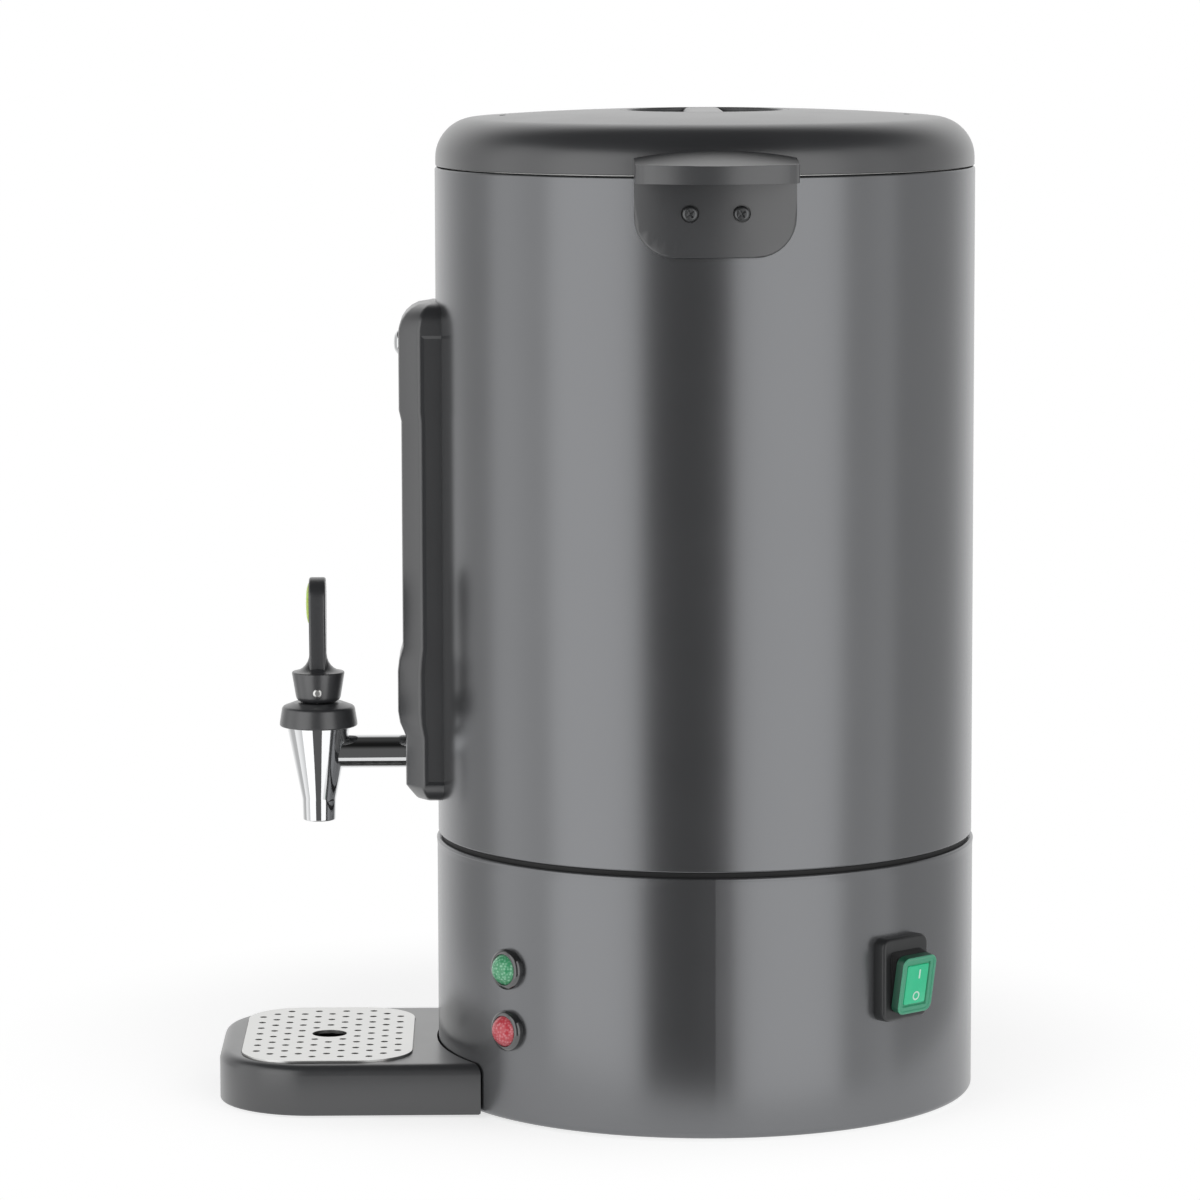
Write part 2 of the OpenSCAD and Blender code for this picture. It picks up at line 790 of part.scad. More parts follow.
module handle() {
    z0 = rim_z - grip_under;
    face_z = z0 + grip_face;
    low_z = rim_z - handle_drop;
    plate_top = z0 + 2;
    mid_z = (low_z + plate_top + handle_corner) / 2;
    seat = drum_r + handle_t - 1;
    color("#2d2d2f") difference() {
        union() {
            intersection() {
                hull() {
                    grip_slice(drum_r - 8, face_z + grip_arch, grip_fall);
                    grip_slice(drum_r + handle_reach, face_z, grip_fall / 8);
                }
                translate([0, 0, z0 - 1]) linear_extrude(far) grip_plan();
            }
            intersection() {
                translate([drum_r / 2, 0, mid_z]) rotate([90, 0, 90]) linear_extrude(far)
                    round_rect(handle_w, plate_top + handle_corner - low_z, handle_corner);
                translate([0, 0, low_z - 1]) cylinder(r = drum_r + handle_t, h = plate_top - low_z + 1);
            }
        }
        drum_core(drum_r + fit);
        for (y = [-1, 1])
            translate([0, y * handle_pitch / 2, rim_z - handle_screw_drop]) rotate([0, 90, 0]) {
                translate([0, 0, drum_r - 20]) cylinder(r = m4_r + drill, h = 40);
                translate([0, 0, seat]) cylinder(r = handle_head_r + 0.5, h = 10);
            }
    }
}

module right_handle() { handle(); }
module left_handle() { rotate([0, 0, 180]) handle(); }

module handle_screws() {
    seat = drum_r + handle_t - 1;
    head_r = handle_head_r;
    head_t = 2.2;
    round = 1.2;
    color("#3a3a3c") for (side = [0, 180], y = [-1, 1])
        rotate([0, 0, side]) translate([0, y * handle_pitch / 2, rim_z - handle_screw_drop])
        rotate([0, 90, 0]) {
            translate([0, 0, shell_in - 5.5]) cylinder(r = m4_r, h = seat - shell_in + 6);
            translate([0, 0, seat]) rotate_extrude() polygon(concat(
                [[0, 0], [head_r, 0]], arc([head_r - round, head_t - round], round, 0, 90, 5), [[0, head_t]]
            ));
        }
}

module handle_nuts() {
    face = chord(shell_in, handle_pitch / 2 + nut_r) - fit;
    color("#b0b1b2") for (side = [0, 180], y = [-1, 1])
        rotate([0, 0, side]) translate([face - nut_t, y * handle_pitch / 2, rim_z - handle_screw_drop])
            rotate([0, 90, 0]) hex_nut(nut_r, m4_r + run, nut_t);
}

// Sight glass

// Side view of the cover, as distance out and height, with its two bosses
module cover_side_view() {
    out = drum_r + cover_out;
    foot = out - 1.1;
    top = cover_z + cover_h;
    toe_w = 5.9;
    toe_h = 7;
    polygon(concat(
        [[drum_r - 20, cover_z], [foot - toe_w, cover_z], [foot - toe_w + 1.4, cover_z + 1.2],
         [foot, cover_z + toe_h], [foot, tap_z + 9], [out + boss_low - 0.8, tap_z + 15],
         [out + boss_low, tap_z + 20], [out + boss_low, tap_z + 38],
         [out + boss_low - 0.6, tap_z + 43], [out, tap_z + 49],
         [out, top - 52], [out + boss_top, top - 47]],
        arc([out + boss_top - cover_bow, top - cover_bow], cover_bow, 0, 90, 8),
        [[drum_r - 20, top]]
    ));
}

// Plan of the cover: flat sides, then chamfers up to the front
module cover_plan(inset, front) {
    half = cover_half - inset;
    side = drum_r + cover_side - inset / 2;
    lean = 1.1;
    polygon([
        [-half, drum_r - 20], [half, drum_r - 20], [half, side],
        [half - (front - side) * lean, front], [-half + (front - side) * lean, front], [-half, side]
    ]);
}

module gauge_cover() {
    out = drum_r + cover_out;
    cavity_z = tap_z - tee_r - 0.6;
    column_r = 4.6;
    color("#2b2b2d") difference() {
        union() {
            difference() {
                intersection() {
                    mirror([0, 1, 0]) linear_extrude(far) cover_plan(0, out + boss_low);
                    translate([-cover_half - 5, 0, 0]) rotate([0, 0, -90]) rotate([90, 0, 0])
                        mirror([0, 0, 1]) linear_extrude(2 * cover_half + 10) cover_side_view();
                    translate([0, 0, cover_z + cover_h / 2]) rotate([90, 0, 0])
                        linear_extrude(far) round_rect(2 * cover_half, cover_h, cover_corner);
                }
                translate([0, 0, cavity_z]) mirror([0, 1, 0])
                    linear_extrude(cover_z + cover_h - cover_bow - cavity_z)
                        cover_plan(cover_wall, out - cover_wall);
            }
            spoke(-90, cap_screw_z, drum_r - 5, out - 1, column_r);
        }
        drum_core(drum_r + fit);
        spoke(-90, tap_z, drum_r, out + 10, shank_r + drill);
        spoke(-90, cap_screw_z, drum_r - 10, out + 10, m4_r + drill);
        translate([0, 0, window_z + window_h / 2]) rotate([90, 0, 0])
            translate([0, 0, out - cover_wall - 1])
                linear_extrude(20) round_rect(window_w, window_h, window_w / 2 - 0.05);
    }
}

module gauge_glass() {
    color("#cfe3e6") translate([0, -glass_out, glass_z]) tube(glass_r, glass_r - glass_wall, glass_len);
}

// Fitting on the shank that feeds the glass
module gauge_tee() {
    color("#c4c5c6") difference() {
        union() {
            spoke(-90, tap_z, tee_back, tee_front, tee_r);
            translate([0, -glass_out, tap_z]) cylinder(r = socket_r + socket_wall, h = glass_up + 11);
        }
        spoke(-90, tap_z, tee_back - 5, tee_front + 5, thread_r + drill);
        translate([0, -glass_out, glass_z - fit]) cylinder(r = socket_r, h = 20);
        translate([0, -glass_out, tap_z]) cylinder(r = glass_r - glass_wall, h = 20);
        drum_core(drum_r + fit);
    }
}

module glass_lower_seal() {
    color("#d9d6cf") translate([0, -glass_out, glass_z]) tube(glass_r + seal_t, glass_r + run, 12.5);
}

module glass_upper_seal() {
    hold = 9;
    cap_t = 2;
    color("#d9d6cf") translate([0, -glass_out, glass_top - hold]) difference() {
        cylinder(r = socket_r + socket_wall, h = hold + cap_t + fit);
        translate([0, 0, -1]) cylinder(r = glass_r + run, h = hold + 1 + fit);
    }
}

module cover_cap_screw() {
    out = drum_r + cover_out + boss_top;
    rise = 1.6;
    ball = (cap_screw_r * cap_screw_r + rise * rise) / (2 * rise);
    color("#d5d6d8") {
        spoke(-90, cap_screw_z, shell_in - 6, out + 1, m4_r);
        on_wall(-90, cap_screw_z) rotate_extrude() polygon(concat(
            [[0, out], [cap_screw_r, out]],
            arc([0, out + 0.6 + rise - ball], ball, asin((ball - rise) / ball), 90, 8)
        ));
    }
}

module cover_nut() {
    color("#b0b1b2") on_wall(-90, cap_screw_z, chord(shell_in, nut_r) - fit - nut_t)
        hex_nut(nut_r, m4_r + run, nut_t);
}

// Tap

module tap_body() {
    color("#d9dadb") difference() {
        union() {
            at_tap() rotate_extrude() polygon([
                [0, tip_z], [spout_r - 0.5, tip_z], [spout_r, tip_z + 0.5], [spout_r + 0.25, cone_z],
                [cone_r, bonnet_z - 0.6], [cone_r, bonnet_z], [neck_r, bonnet_z],
                [neck_r, bonnet_z + neck_h], [0, bonnet_z + neck_h]
            ]);
            spoke(-90, tap_z, tee_front, drum_r + tap_reach, shank_r);
            spoke(-90, tap_z, shank_end, tee_front + 1, thread_r);
        }
        at_tap(tip_z - 1) cylinder(r = spout_bore, h = seat_up + 2);
        at_tap(valve_z) cylinder(r = chamber_r, h = 60);
        spoke(-90, tap_z, shank_end - 1, drum_r + tap_reach, shank_bore);
        translate([0, -glass_out, tap_z]) cylinder(r = glass_r - glass_wall, h = 20);
    }
}

module tap_bonnet() {
    color("#252526") at_tap() difference() {
        rotate_extrude() polygon(concat(
            [[0, bonnet_z], [bonnet_r - 0.5, bonnet_z], [bonnet_r, bonnet_z + 0.6], [bonnet_r, bonnet_z + 2]],
            arc([bonnet_r - 2.6, bonnet_z + bonnet_h - 1.4], 1.6, 8, 75, 6),
            [[boot_low_r + 1.4, cam_z], [0, cam_z]]
        ));
        translate([0, 0, bonnet_z - 1]) cylinder(r = neck_r + fit, h = ceiling_z - bonnet_z + 1);
        translate([0, 0, bonnet_z]) cylinder(r = stem_r + run, h = 40);
    }
}

module valve_stem() {
    rod_end = cup_z + 3;
    top = pin_z + 3.2;
    color("#c9cacb") at_tap() difference() {
        union() {
            translate([0, 0, rod_end]) cylinder(r = stem_r - 0.8, h = collar_z - rod_end + 0.5);
            translate([0, 0, collar_z]) cylinder(r = cup_r - 0.4, h = collar_t);
            translate([0, 0, collar_z + collar_t - 0.5])
                cylinder(r = stem_r, h = top - collar_z - collar_t + 0.5);
        }
        translate([-20, 0, pin_z]) rotate([0, 90, 0]) cylinder(r = pin_r + run, h = 40);
    }
}

module seat_cup() {
    color("#e6e3da") at_tap() difference() {
        rotate_extrude() polygon([
            [0, cup_z], [spout_bore + 0.9, cup_z], [cup_r, cup_z + 1.4], [cup_r, collar_z - fit],
            [0, collar_z - fit]
        ]);
        translate([0, 0, cup_z + 3 - fit]) cylinder(r = stem_r - 0.8 + run, h = 20);
    }
}

// Wire coil of round turns, swept as one closed skin
module coil(r, wire, turns, pitch, sides = 6, steps = 8) {
    rings = turns * steps;
    points = [for (i = [0:rings], k = [0:sides - 1])
        let (a = 360 * i / steps, b = 360 * k / sides, q = r + wire * cos(b))
        [q * cos(a), q * sin(a), pitch * i / steps + wire * sin(b)]];
    skin = [for (i = [0:rings - 1], k = [0:sides - 1])
        let (p = i * sides + k, q = i * sides + (k + 1) % sides)
        each [[p, p + sides, q], [q, p + sides, q + sides]]];
    ends = [for (k = [1:sides - 2])
        each [[0, k, k + 1], [rings * sides, rings * sides + k + 1, rings * sides + k]]];
    polyhedron(points, concat(skin, ends));
}

module valve_spring() {
    low = collar_z + collar_t + wire_r + fit;
    pitch = (ceiling_z - wire_r - fit - low) / coils;
    color("#b5b6b8") at_tap(low) coil(coil_r, wire_r, coils, pitch);
}

module tap_lever() {
    cove = boot_top_r - lever_t / 2 - 0.2;
    pocket = stem_r + 2 * drill;
    swing = 6;
    color("#29292b") at_tap() difference() {
        union() {
            rotate_extrude() polygon(concat(
                [[0, boot_z]],
                arc([boot_low_r - cam_r, boot_z + cam_r], cam_r, -90, 0, 10),
                arc([boot_top_r, boot_z + boot_h + cove], cove, 270, 180, 10),
                [[0, boot_z + boot_h + cove]]
            ));
            translate([0, lever_t / 2, 0]) rotate([90, 0, 0]) linear_extrude(lever_t) hull() {
                translate([0, head_z]) circle(r = head_r);
                translate([-neck_w / 2, boot_z + boot_h]) square([neck_w, 4]);
            }
        }
        translate([-pocket, 0, pin_z]) rotate([0, 90, 0]) cylinder(r = 4.9, h = 2 * pocket);
        translate([-pocket, -swing, boot_z - 1]) cube([2 * pocket, 2 * swing, pin_up + 1]);
        translate([-20, 0, pin_z]) rotate([0, 90, 0]) cylinder(r = pin_r + run, h = 40);
        translate([0, -lever_t / 2 + insert_seat, insert_z]) rotate([90, 0, 0])
            cylinder(r = insert_r + fit, h = 10);
        for (x = [-1, 1])
            translate([x * (boot_low_r - 0.5), 0, pin_z]) rotate([0, x * 90, 0])
                cylinder(r = pin_head_r + run, h = 10);
    }
}

module lever_insert() {
    ball = (insert_r * insert_r + insert_out * insert_out) / (2 * insert_out);
    color("#b4d432") at_tap() translate([0, -lever_t / 2 + insert_seat, insert_z]) rotate([90, 0, 0])
        rotate_extrude() polygon(concat(
            [[0, 0], [insert_r, 0]],
            arc([0, insert_seat + insert_out - ball], ball, asin((ball - insert_out) / ball), 90, 8)
        ));
}

module lever_pin() {
    half = boot_low_r - 0.5;
    head_t = 0.9;
    color("#cfd0d2") at_tap(pin_z) rotate([0, 90, 0]) {
        translate([0, 0, -half - fit]) cylinder(r = pin_r, h = 2 * (half + fit));
        for (x = [0, 1])
            mirror([0, 0, x]) translate([0, 0, half + fit / 2]) cylinder(r = pin_head_r, h = head_t);
    }
}

// Seals and nut along the shank

module shank_outer_washer() {
    color("#d9d6cf") difference() {
        spoke(-90, tap_z, drum_r - 5, tee_back, washer_r);
        spoke(-90, tap_z, drum_r - 10, tee_back + 5, thread_r + drill);
        drum_core(drum_r + fit);
    }
}

module shank_spacer() {
    color("#d9d6cf") difference() {
        intersection() {
            spoke(-90, tap_z, tank_out - 5, drum_r + 5, washer_r);
            drum_core(shell_in - fit);
        }
        spoke(-90, tap_z, tank_out - 10, drum_r + 10, thread_r + drill);
        drum_core(tank_out + fit);
    }
}

module shank_inner_washer() {
    color("#d9d6cf") difference() {
        intersection() {
            spoke(-90, tap_z, tank_in - washer_t, tank_in + 5, washer_r);
            drum_core(tank_in - fit);
        }
        spoke(-90, tap_z, tank_in - 20, tank_in + 10, thread_r + drill);
    }
}

module shank_nut() {
    color("#c4c5c6") on_wall(-90, tap_z, tank_in - washer_t - shank_nut_t)
        hex_nut(shank_nut_r, thread_r + run, shank_nut_t);
}

// Lid

module lid_cover() {
    hole_r = grip_out_r + fit;
    color("#2e2e30") {
        rotate_extrude() polygon(concat(
            lid_line(0, hole_r),
            reversed(lid_line(lid_wall, hole_r))
        ));
        for (a = [90:120:330])
            difference() {
                intersection() {
                    rotate([0, 0, a]) translate([boss_pc, 0, liner_z + liner_t]) cylinder(r = boss_r, h = 60);
                    rotate_extrude() polygon(concat([[0, lid_z - 20], [0, lid_top - 1]], lid_line(1, 0.1),
                                                    [[lid_r - 1, lid_z - 20]]));
                }
                rotate([0, 0, a]) translate([boss_pc, 0, liner_z])
                    cylinder(r = lid_screw_r + run, h = lid_screw_len + 2.5);
            }
    }
}

module lid_grip() {
    flange_r = grip_out_r + 4;
    under = crown_z + sqrt(pow(crown_r - lid_wall, 2) - pow(flange_r, 2)) - fit;
    bar_z = lid_top - grip_t;
    color("#2a2a2c") difference() {
        union() {
            intersection() {
                translate([0, 0, recess_z - lid_wall]) cylinder(r = grip_out_r, h = 60);
                rotate_extrude() polygon(concat(
                    [[0, lid_z - 20], [0, lid_top]], lid_line(0, 0.1), [[lid_r, lid_z - 20]]
                ));
            }
            translate([0, 0, under - lid_wall]) cylinder(r = flange_r, h = lid_wall);
        }
        difference() {
            translate([0, 0, recess_z]) cylinder(r = recess_r, h = 60);
            translate([-recess_d, -grip_w / 2, bar_z]) cube([2 * recess_d, grip_w, 60]);
        }
    }
}

module lid_liner() {
    flange_r = lid_r - lid_wall - 0.4;
    flange_z = lid_z + fit;
    color("#c9cacb") difference() {
        rotate_extrude() polygon([
            [0, liner_z], [plug_r, liner_z], [plug_r, flange_z], [flange_r, flange_z],
            [flange_r, flange_z + liner_t], [plug_r - liner_t, flange_z + liner_t],
            [plug_r - liner_t, liner_z + liner_t], [0, liner_z + liner_t]
        ]);
        for (a = [90:120:330])
            rotate([0, 0, a]) translate([boss_pc, 0, liner_z - 1]) cylinder(r = lid_screw_r + drill, h = 5);
    }
}

module lid_gasket() {
    color("#dedbd3") translate([0, 0, liner_z + 1.2])
        tube(plug_r + gasket_w, plug_r + run, plug_depth - 2.4);
}

module lid_screws() {
    color("#b9babb") for (a = [90:120:330])
        rotate([0, 0, a]) translate([boss_pc, 0, liner_z]) {
            translate([0, 0, -2]) cylinder(r = 3.4, h = 2);
            translate([0, 0, -0.5]) cylinder(r = lid_screw_r, h = lid_screw_len + 0.5);
        }
}

// Brewing parts

module pump_tube() {
    color("#d0d1d2") {
        translate([0, 0, floor_z + 4]) tube(tube_r, tube_r - tube_wall, tube_top - floor_z - 4);
        translate([0, 0, basket_z - 2]) tube(tube_r + 4, tube_r - tube_wall, 2);
    }
}

module pump_foot() {
    t = 1.2;
    collar = 4;
    flare_r = pump_foot_r * 0.65;
    flare_z = floor_z + pump_foot_h / 2;
    top = floor_z + pump_foot_h;
    color("#c4c5c6") difference() {
        rotate_extrude() polygon([
            [tube_r + fit, top - collar], [flare_r, flare_z], [pump_foot_r - t, floor_z],
            [pump_foot_r, floor_z], [flare_r + t, flare_z + t], [tube_r + 3, top - collar + 1],
            [tube_r + 3, top], [tube_r + fit, top]
        ]);
        for (a = [0:60:300])
            rotate([0, 0, a]) translate([pump_foot_r - 6, -2, floor_z - 1]) cube([10, 4, 4]);
    }
}

// Rings of round holes, n of them on each of the radii
module drilled(radii, z, h, n) {
    for (j = [0:len(radii) - 1], i = [0:n - 1])
        rotate([0, 0, 360 * (i + j / 2) / n]) translate([radii[j], 0, z - 1]) cylinder(r = 1.5, h = h + 2);
}

module filter_basket() {
    chimney = tube_r + drill;
    t = basket_wall;
    color("#cdcecf") difference() {
        rotate_extrude() polygon([
            [chimney, basket_z], [basket_r, basket_z], [basket_r, basket_z + basket_h],
            [basket_r - t, basket_z + basket_h], [basket_r - t, basket_z + t], [chimney + t, basket_z + t],
            [chimney + t, basket_z + basket_h - 4], [chimney, basket_z + basket_h - 4]
        ]);
        drilled([for (i = [1:4]) basket_r * i / 5], basket_z, t, 12);
    }
}

module basket_lid() {
    z = basket_z + basket_h;
    t = basket_wall;
    color("#cdcecf") difference() {
        rotate_extrude() polygon([
            [tube_r + drill, z - 3], [basket_r - 3, z - 3], [basket_r - 3, z], [basket_r + 2, z],
            [basket_r + 2, z + t], [basket_r - 3 - t, z + t], [basket_r - 3 - t, z - 3 + t],
            [tube_r + drill, z - 3 + t]
        ]);
        drilled([for (i = [1:3]) basket_r * i / 4], z - 3, t, 12);
    }
}

// Drip tray

// Plan of the tray, drawn in by t, before the drum is cut away
module tray_plan(t) {
    half = tray_w / 2 - t;
    r = tray_corner - t;
    front = tray_y + t;
    polygon(concat(
        [[half, -drum_r / 2], [-half, -drum_r / 2]],
        arc([-half + r, front + r], r, 180, 270),
        arc([half - r, front + r], r, 270, 360)
    ));
}

module grid_plan(t) {
    translate([0, grid_y]) round_rect(grid_w + 2 * t, grid_len + 2 * t, grid_corner + t);
}

module drip_tray() {
    steps = 5;
    lip = 4;
    color("#2c2c2e") {
        difference() {
            hull() {
                translate([0, 0, tray_z]) linear_extrude(0.1) tray_plan(1);
                translate([0, 0, tray_z + 1]) linear_extrude(0.1) tray_plan(0);
                for (i = [0:steps])
                    translate([0, 0, tray_top - 0.1 - tray_edge * (1 - sin(90 * i / steps))])
                        linear_extrude(0.1) tray_plan(tray_edge * (1 - cos(90 * i / steps)));
            }
            drum_core(base_r + tray_gap);
            translate([0, 0, grid_z]) linear_extrude(20) grid_plan(free);
            translate([0, 0, tray_z + tray_floor]) linear_extrude(40) grid_plan(-lip);
        }
        difference() {
            translate([-tongue_w / 2, -base_r - tray_gap - 6, tongue_z])
                cube([tongue_w, tongue_len + 6, tongue_t]);
            translate([-tongue_w, grid_y, tray_z]) cube([2 * tongue_w, grid_len / 2 - lip + 0.5, 40]);
        }
    }
}

// Staggered rows of small holes round one finger hole
module drip_grid() {
    rows = floor((grid_w / 2 - 8) / row_pitch);
    color("#dcdddd") translate([0, 0, grid_z]) linear_extrude(grid_t) difference() {
        grid_plan(0);
        translate([0, grid_y]) {
            circle(r = finger_r);
            for (j = [-rows:rows], i = [-6:6])
                let (x = j * row_pitch, y = (i + (j % 2 == 0 ? 0.5 : 0)) * 2 * row_pitch)
                if (norm([x, y]) > finger_r + hole_r + 1 && in_grid(x, y))
                    translate([x, y]) circle(r = hole_r);
        }
    }
}

// True where a small hole keeps clear of the grid's rounded outline
function in_grid(x, y) =
    let (edge = hole_r + 4, cx = grid_w / 2 - grid_corner, cy = grid_len / 2 - grid_corner,
         dx = max(abs(x) - cx, 0), dy = max(abs(y) - cy, 0))
    norm([dx, dy]) < grid_corner - edge;

outer_shell();
inner_tank();
base_housing();
seam_gasket();
bottom_plate();
foot_ring();
tank_studs();
stud_nuts();
heater();
thermostat();
dry_cutout();
terminal_block();
cable_gland();
gland_nut();
green_lamp_bezel();
green_lamp_lens();
red_lamp_bezel();
red_lamp_lens();
lamp_nuts();
switch_frame();
switch_seal();
switch_rocker();
switch_window();
right_handle();
left_handle();
handle_screws();
handle_nuts();
gauge_cover();
gauge_glass();
gauge_tee();
glass_lower_seal();
glass_upper_seal();
cover_cap_screw();
cover_nut();
tap_body();
tap_bonnet();
valve_stem();
seat_cup();
valve_spring();
tap_lever();
lever_insert();
lever_pin();
shank_outer_washer();
shank_spacer();
shank_inner_washer();
shank_nut();
lid_cover();
lid_grip();
lid_liner();
lid_gasket();
lid_screws();
pump_tube();
pump_foot();
filter_basket();
basket_lid();
drip_tray();
drip_grid();
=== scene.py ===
# %% [markdown]
# # Dressing a coffee urn
#
# The urn is a coated steel drum on a base of the same finish, with moulded plastic fittings, a chromed
# tap and a steel drip grid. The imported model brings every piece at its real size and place. This lesson
# gives each visible piece the edges, small forms and finish that the real one shows, and keeps it on the
# body that it moves with.

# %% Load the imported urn
import json
import math

import bmesh
import bpy
from mathutils import Matrix, Vector


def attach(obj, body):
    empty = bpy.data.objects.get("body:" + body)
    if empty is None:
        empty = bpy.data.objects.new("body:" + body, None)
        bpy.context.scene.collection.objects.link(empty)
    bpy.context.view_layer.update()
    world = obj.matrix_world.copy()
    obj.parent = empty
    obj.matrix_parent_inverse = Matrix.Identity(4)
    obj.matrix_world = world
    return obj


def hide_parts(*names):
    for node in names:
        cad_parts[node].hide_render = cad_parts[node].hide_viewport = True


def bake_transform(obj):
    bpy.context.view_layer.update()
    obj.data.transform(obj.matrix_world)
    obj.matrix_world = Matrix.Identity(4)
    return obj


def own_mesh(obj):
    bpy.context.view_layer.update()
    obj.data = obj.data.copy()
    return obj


MM = 0.001
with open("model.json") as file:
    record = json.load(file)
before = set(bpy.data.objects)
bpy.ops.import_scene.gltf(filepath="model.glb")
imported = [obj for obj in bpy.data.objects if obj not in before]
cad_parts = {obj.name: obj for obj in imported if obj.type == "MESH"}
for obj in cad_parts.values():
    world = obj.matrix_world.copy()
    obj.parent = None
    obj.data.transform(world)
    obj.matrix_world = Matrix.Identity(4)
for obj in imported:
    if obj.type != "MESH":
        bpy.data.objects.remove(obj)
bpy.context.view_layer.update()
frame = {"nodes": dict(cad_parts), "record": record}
nodes = frame["nodes"]

# %% [markdown]
# ## Camera
#
# The urn is seen from its handle side, a little above the lid's edge, from far away with a long lens. A
# camera could be turned by eye until it looks right, but small errors then bend every outline. So its
# place, lens and turn were found by fitting the ellipses of the drum's edges, and are written as numbers.

# %% Camera
CAMERA_PLACE = Vector((2338.5, -91.5, 507.3)) * MM
CAMERA_TURN = 1.1
CAMERA_PITCH = 7.01
CAMERA_ROLL = -0.14
SENSOR = 36.0
LENS = 158.85

turn = math.radians(CAMERA_TURN)
pitch = math.radians(CAMERA_PITCH)
look = Vector((-math.cos(turn) * math.cos(pitch), math.sin(turn) * math.cos(pitch), -math.sin(pitch)))
camera_data = bpy.data.cameras.new("photo_camera")
camera_data.sensor_width = SENSOR
camera_data.lens = LENS
camera_data.clip_end = 100
camera = bpy.data.objects.new("photo_camera", camera_data)
camera.location = CAMERA_PLACE
camera.rotation_mode = "QUATERNION"
level = Matrix.Rotation(math.radians(CAMERA_ROLL), 3, "Z").to_quaternion()
camera.rotation_quaternion = look.to_track_quat("-Z", "Y") @ level
bpy.context.scene.collection.objects.link(camera)
bpy.context.scene.camera = camera
bpy.context.scene.view_settings.view_transform = "Standard"
print("camera looks along", [round(v, 3) for v in look])

# %% [markdown]
# ## Nodes and colours
#
# Every finish below is a small tree of shader nodes. Trees can be drawn in the shader editor, but in a
# script each node takes many lines. So one function adds a node, sets its properties and fills its inputs.
# Another turns the sRGB hex colours that designers use into the linear numbers that Blender mixes.


# %% Small helpers for materials
def linear(hex_colour):
    """The linear RGBA of an sRGB colour such as #4a4b4d."""
    parts = [int(hex_colour[i:i + 2], 16) / 255 for i in (1, 3, 5)]
    return (*[c / 12.92 if c <= 0.04045 else ((c + 0.055) / 1.055) ** 2.4 for c in parts], 1.0)


def put(tree, kind, inputs=(), **settings):
    """Add one node. A socket among the inputs makes a link, and anything else is the input's value."""
    node = tree.nodes.new(kind)
    for name, value in settings.items():
        setattr(node, name, value)
    for name, value in dict(inputs).items():
        if isinstance(value, bpy.types.NodeSocket):
            tree.links.new(value, node.inputs[name])
        else:
            node.inputs[name].default_value = value
    return node


def blank(name):
    """A material with an empty node tree and its output."""
    material = bpy.data.materials.new(name)
    material.use_nodes = True
    material.node_tree.nodes.clear()
    return material, material.node_tree, put(material.node_tree, "ShaderNodeOutputMaterial")


print("middle grey is", [round(c, 3) for c in linear("#808080")])

# %% [markdown]
# ## Studio
#
# The product stands on a round white table, in front of a lit white backdrop, with two wide soft boxes
# beside the camera, a weaker box beyond each of them, a dim room behind the camera and a dim ceiling. The
# gap between the boxes draws the dark stripe down the middle of the drum, and the ceiling draws the dark
# band along the lid's edge. An even white world would light the urn as well, but it would show none of
# this. So the boxes are lamps at those angles, and the world has a bright back, a dim front and a dim
# ceiling. Where the camera looks straight at it, or through glass, it is plain white.

# %% World
BACKDROP_LEVEL = 1.0
WALL_LEVEL = 0.6
ROOM_LEVEL = 0.12
CEILING_SHARE = 0.1
ROOM_FADE = (-0.15, 0.55)
BACKDROP_FADE = (-0.5, -0.9)
OVERHEAD_FADE = (0.3, 0.75)
FORWARD_FADE = (-0.75, -0.4)

world = bpy.data.worlds.new("studio")
world.use_nodes = True
sky = world.node_tree
sky.nodes.clear()
direction = put(sky, "ShaderNodeTexCoord")
split = put(sky, "ShaderNodeSeparateXYZ", {"Vector": direction.outputs["Generated"]})
room = put(sky, "ShaderNodeMapRange", {
    "Value": split.outputs["X"], "From Min": ROOM_FADE[0], "From Max": ROOM_FADE[1],
    "To Min": WALL_LEVEL, "To Max": ROOM_LEVEL}, interpolation_type="SMOOTHSTEP")
behind = put(sky, "ShaderNodeMapRange", {
    "Value": split.outputs["X"], "From Min": BACKDROP_FADE[0], "From Max": BACKDROP_FADE[1],
    "To Min": 0.0, "To Max": BACKDROP_LEVEL - WALL_LEVEL}, interpolation_type="SMOOTHSTEP")
around = put(sky, "ShaderNodeMath", {0: room.outputs[0], 1: behind.outputs[0]}, operation="ADD")
overhead = put(sky, "ShaderNodeMapRange", {
    "Value": split.outputs["Z"], "From Min": OVERHEAD_FADE[0], "From Max": OVERHEAD_FADE[1]},
    interpolation_type="SMOOTHSTEP")
forward = put(sky, "ShaderNodeMapRange", {
    "Value": split.outputs["X"], "From Min": FORWARD_FADE[0], "From Max": FORWARD_FADE[1]},
    interpolation_type="SMOOTHSTEP")
ceiling = put(sky, "ShaderNodeMath", {
    0: overhead.outputs[0], 1: forward.outputs[0]}, operation="MULTIPLY")
ceiling_share = put(sky, "ShaderNodeMapRange", {
    "Value": ceiling.outputs[0], "To Min": 1.0, "To Max": CEILING_SHARE})
dimmed = put(sky, "ShaderNodeMath", {
    0: around.outputs[0], 1: ceiling_share.outputs[0]}, operation="MULTIPLY")
ray = put(sky, "ShaderNodeLightPath")
seen = put(sky, "ShaderNodeMath", {
    0: ray.outputs["Is Camera Ray"], 1: ray.outputs["Is Transmission Ray"]}, operation="MAXIMUM")
strength = put(sky, "ShaderNodeMix", {
    0: seen.outputs[0], 2: dimmed.outputs[0], 3: 1.0}, data_type="FLOAT")
glow = put(sky, "ShaderNodeBackground", {
    "Color": (1, 1, 1, 1), "Strength": strength.outputs[0]})
put(sky, "ShaderNodeOutputWorld", {"Surface": glow.outputs[0]})
bpy.context.scene.world = world
print("nodes in the world:", len(sky.nodes))

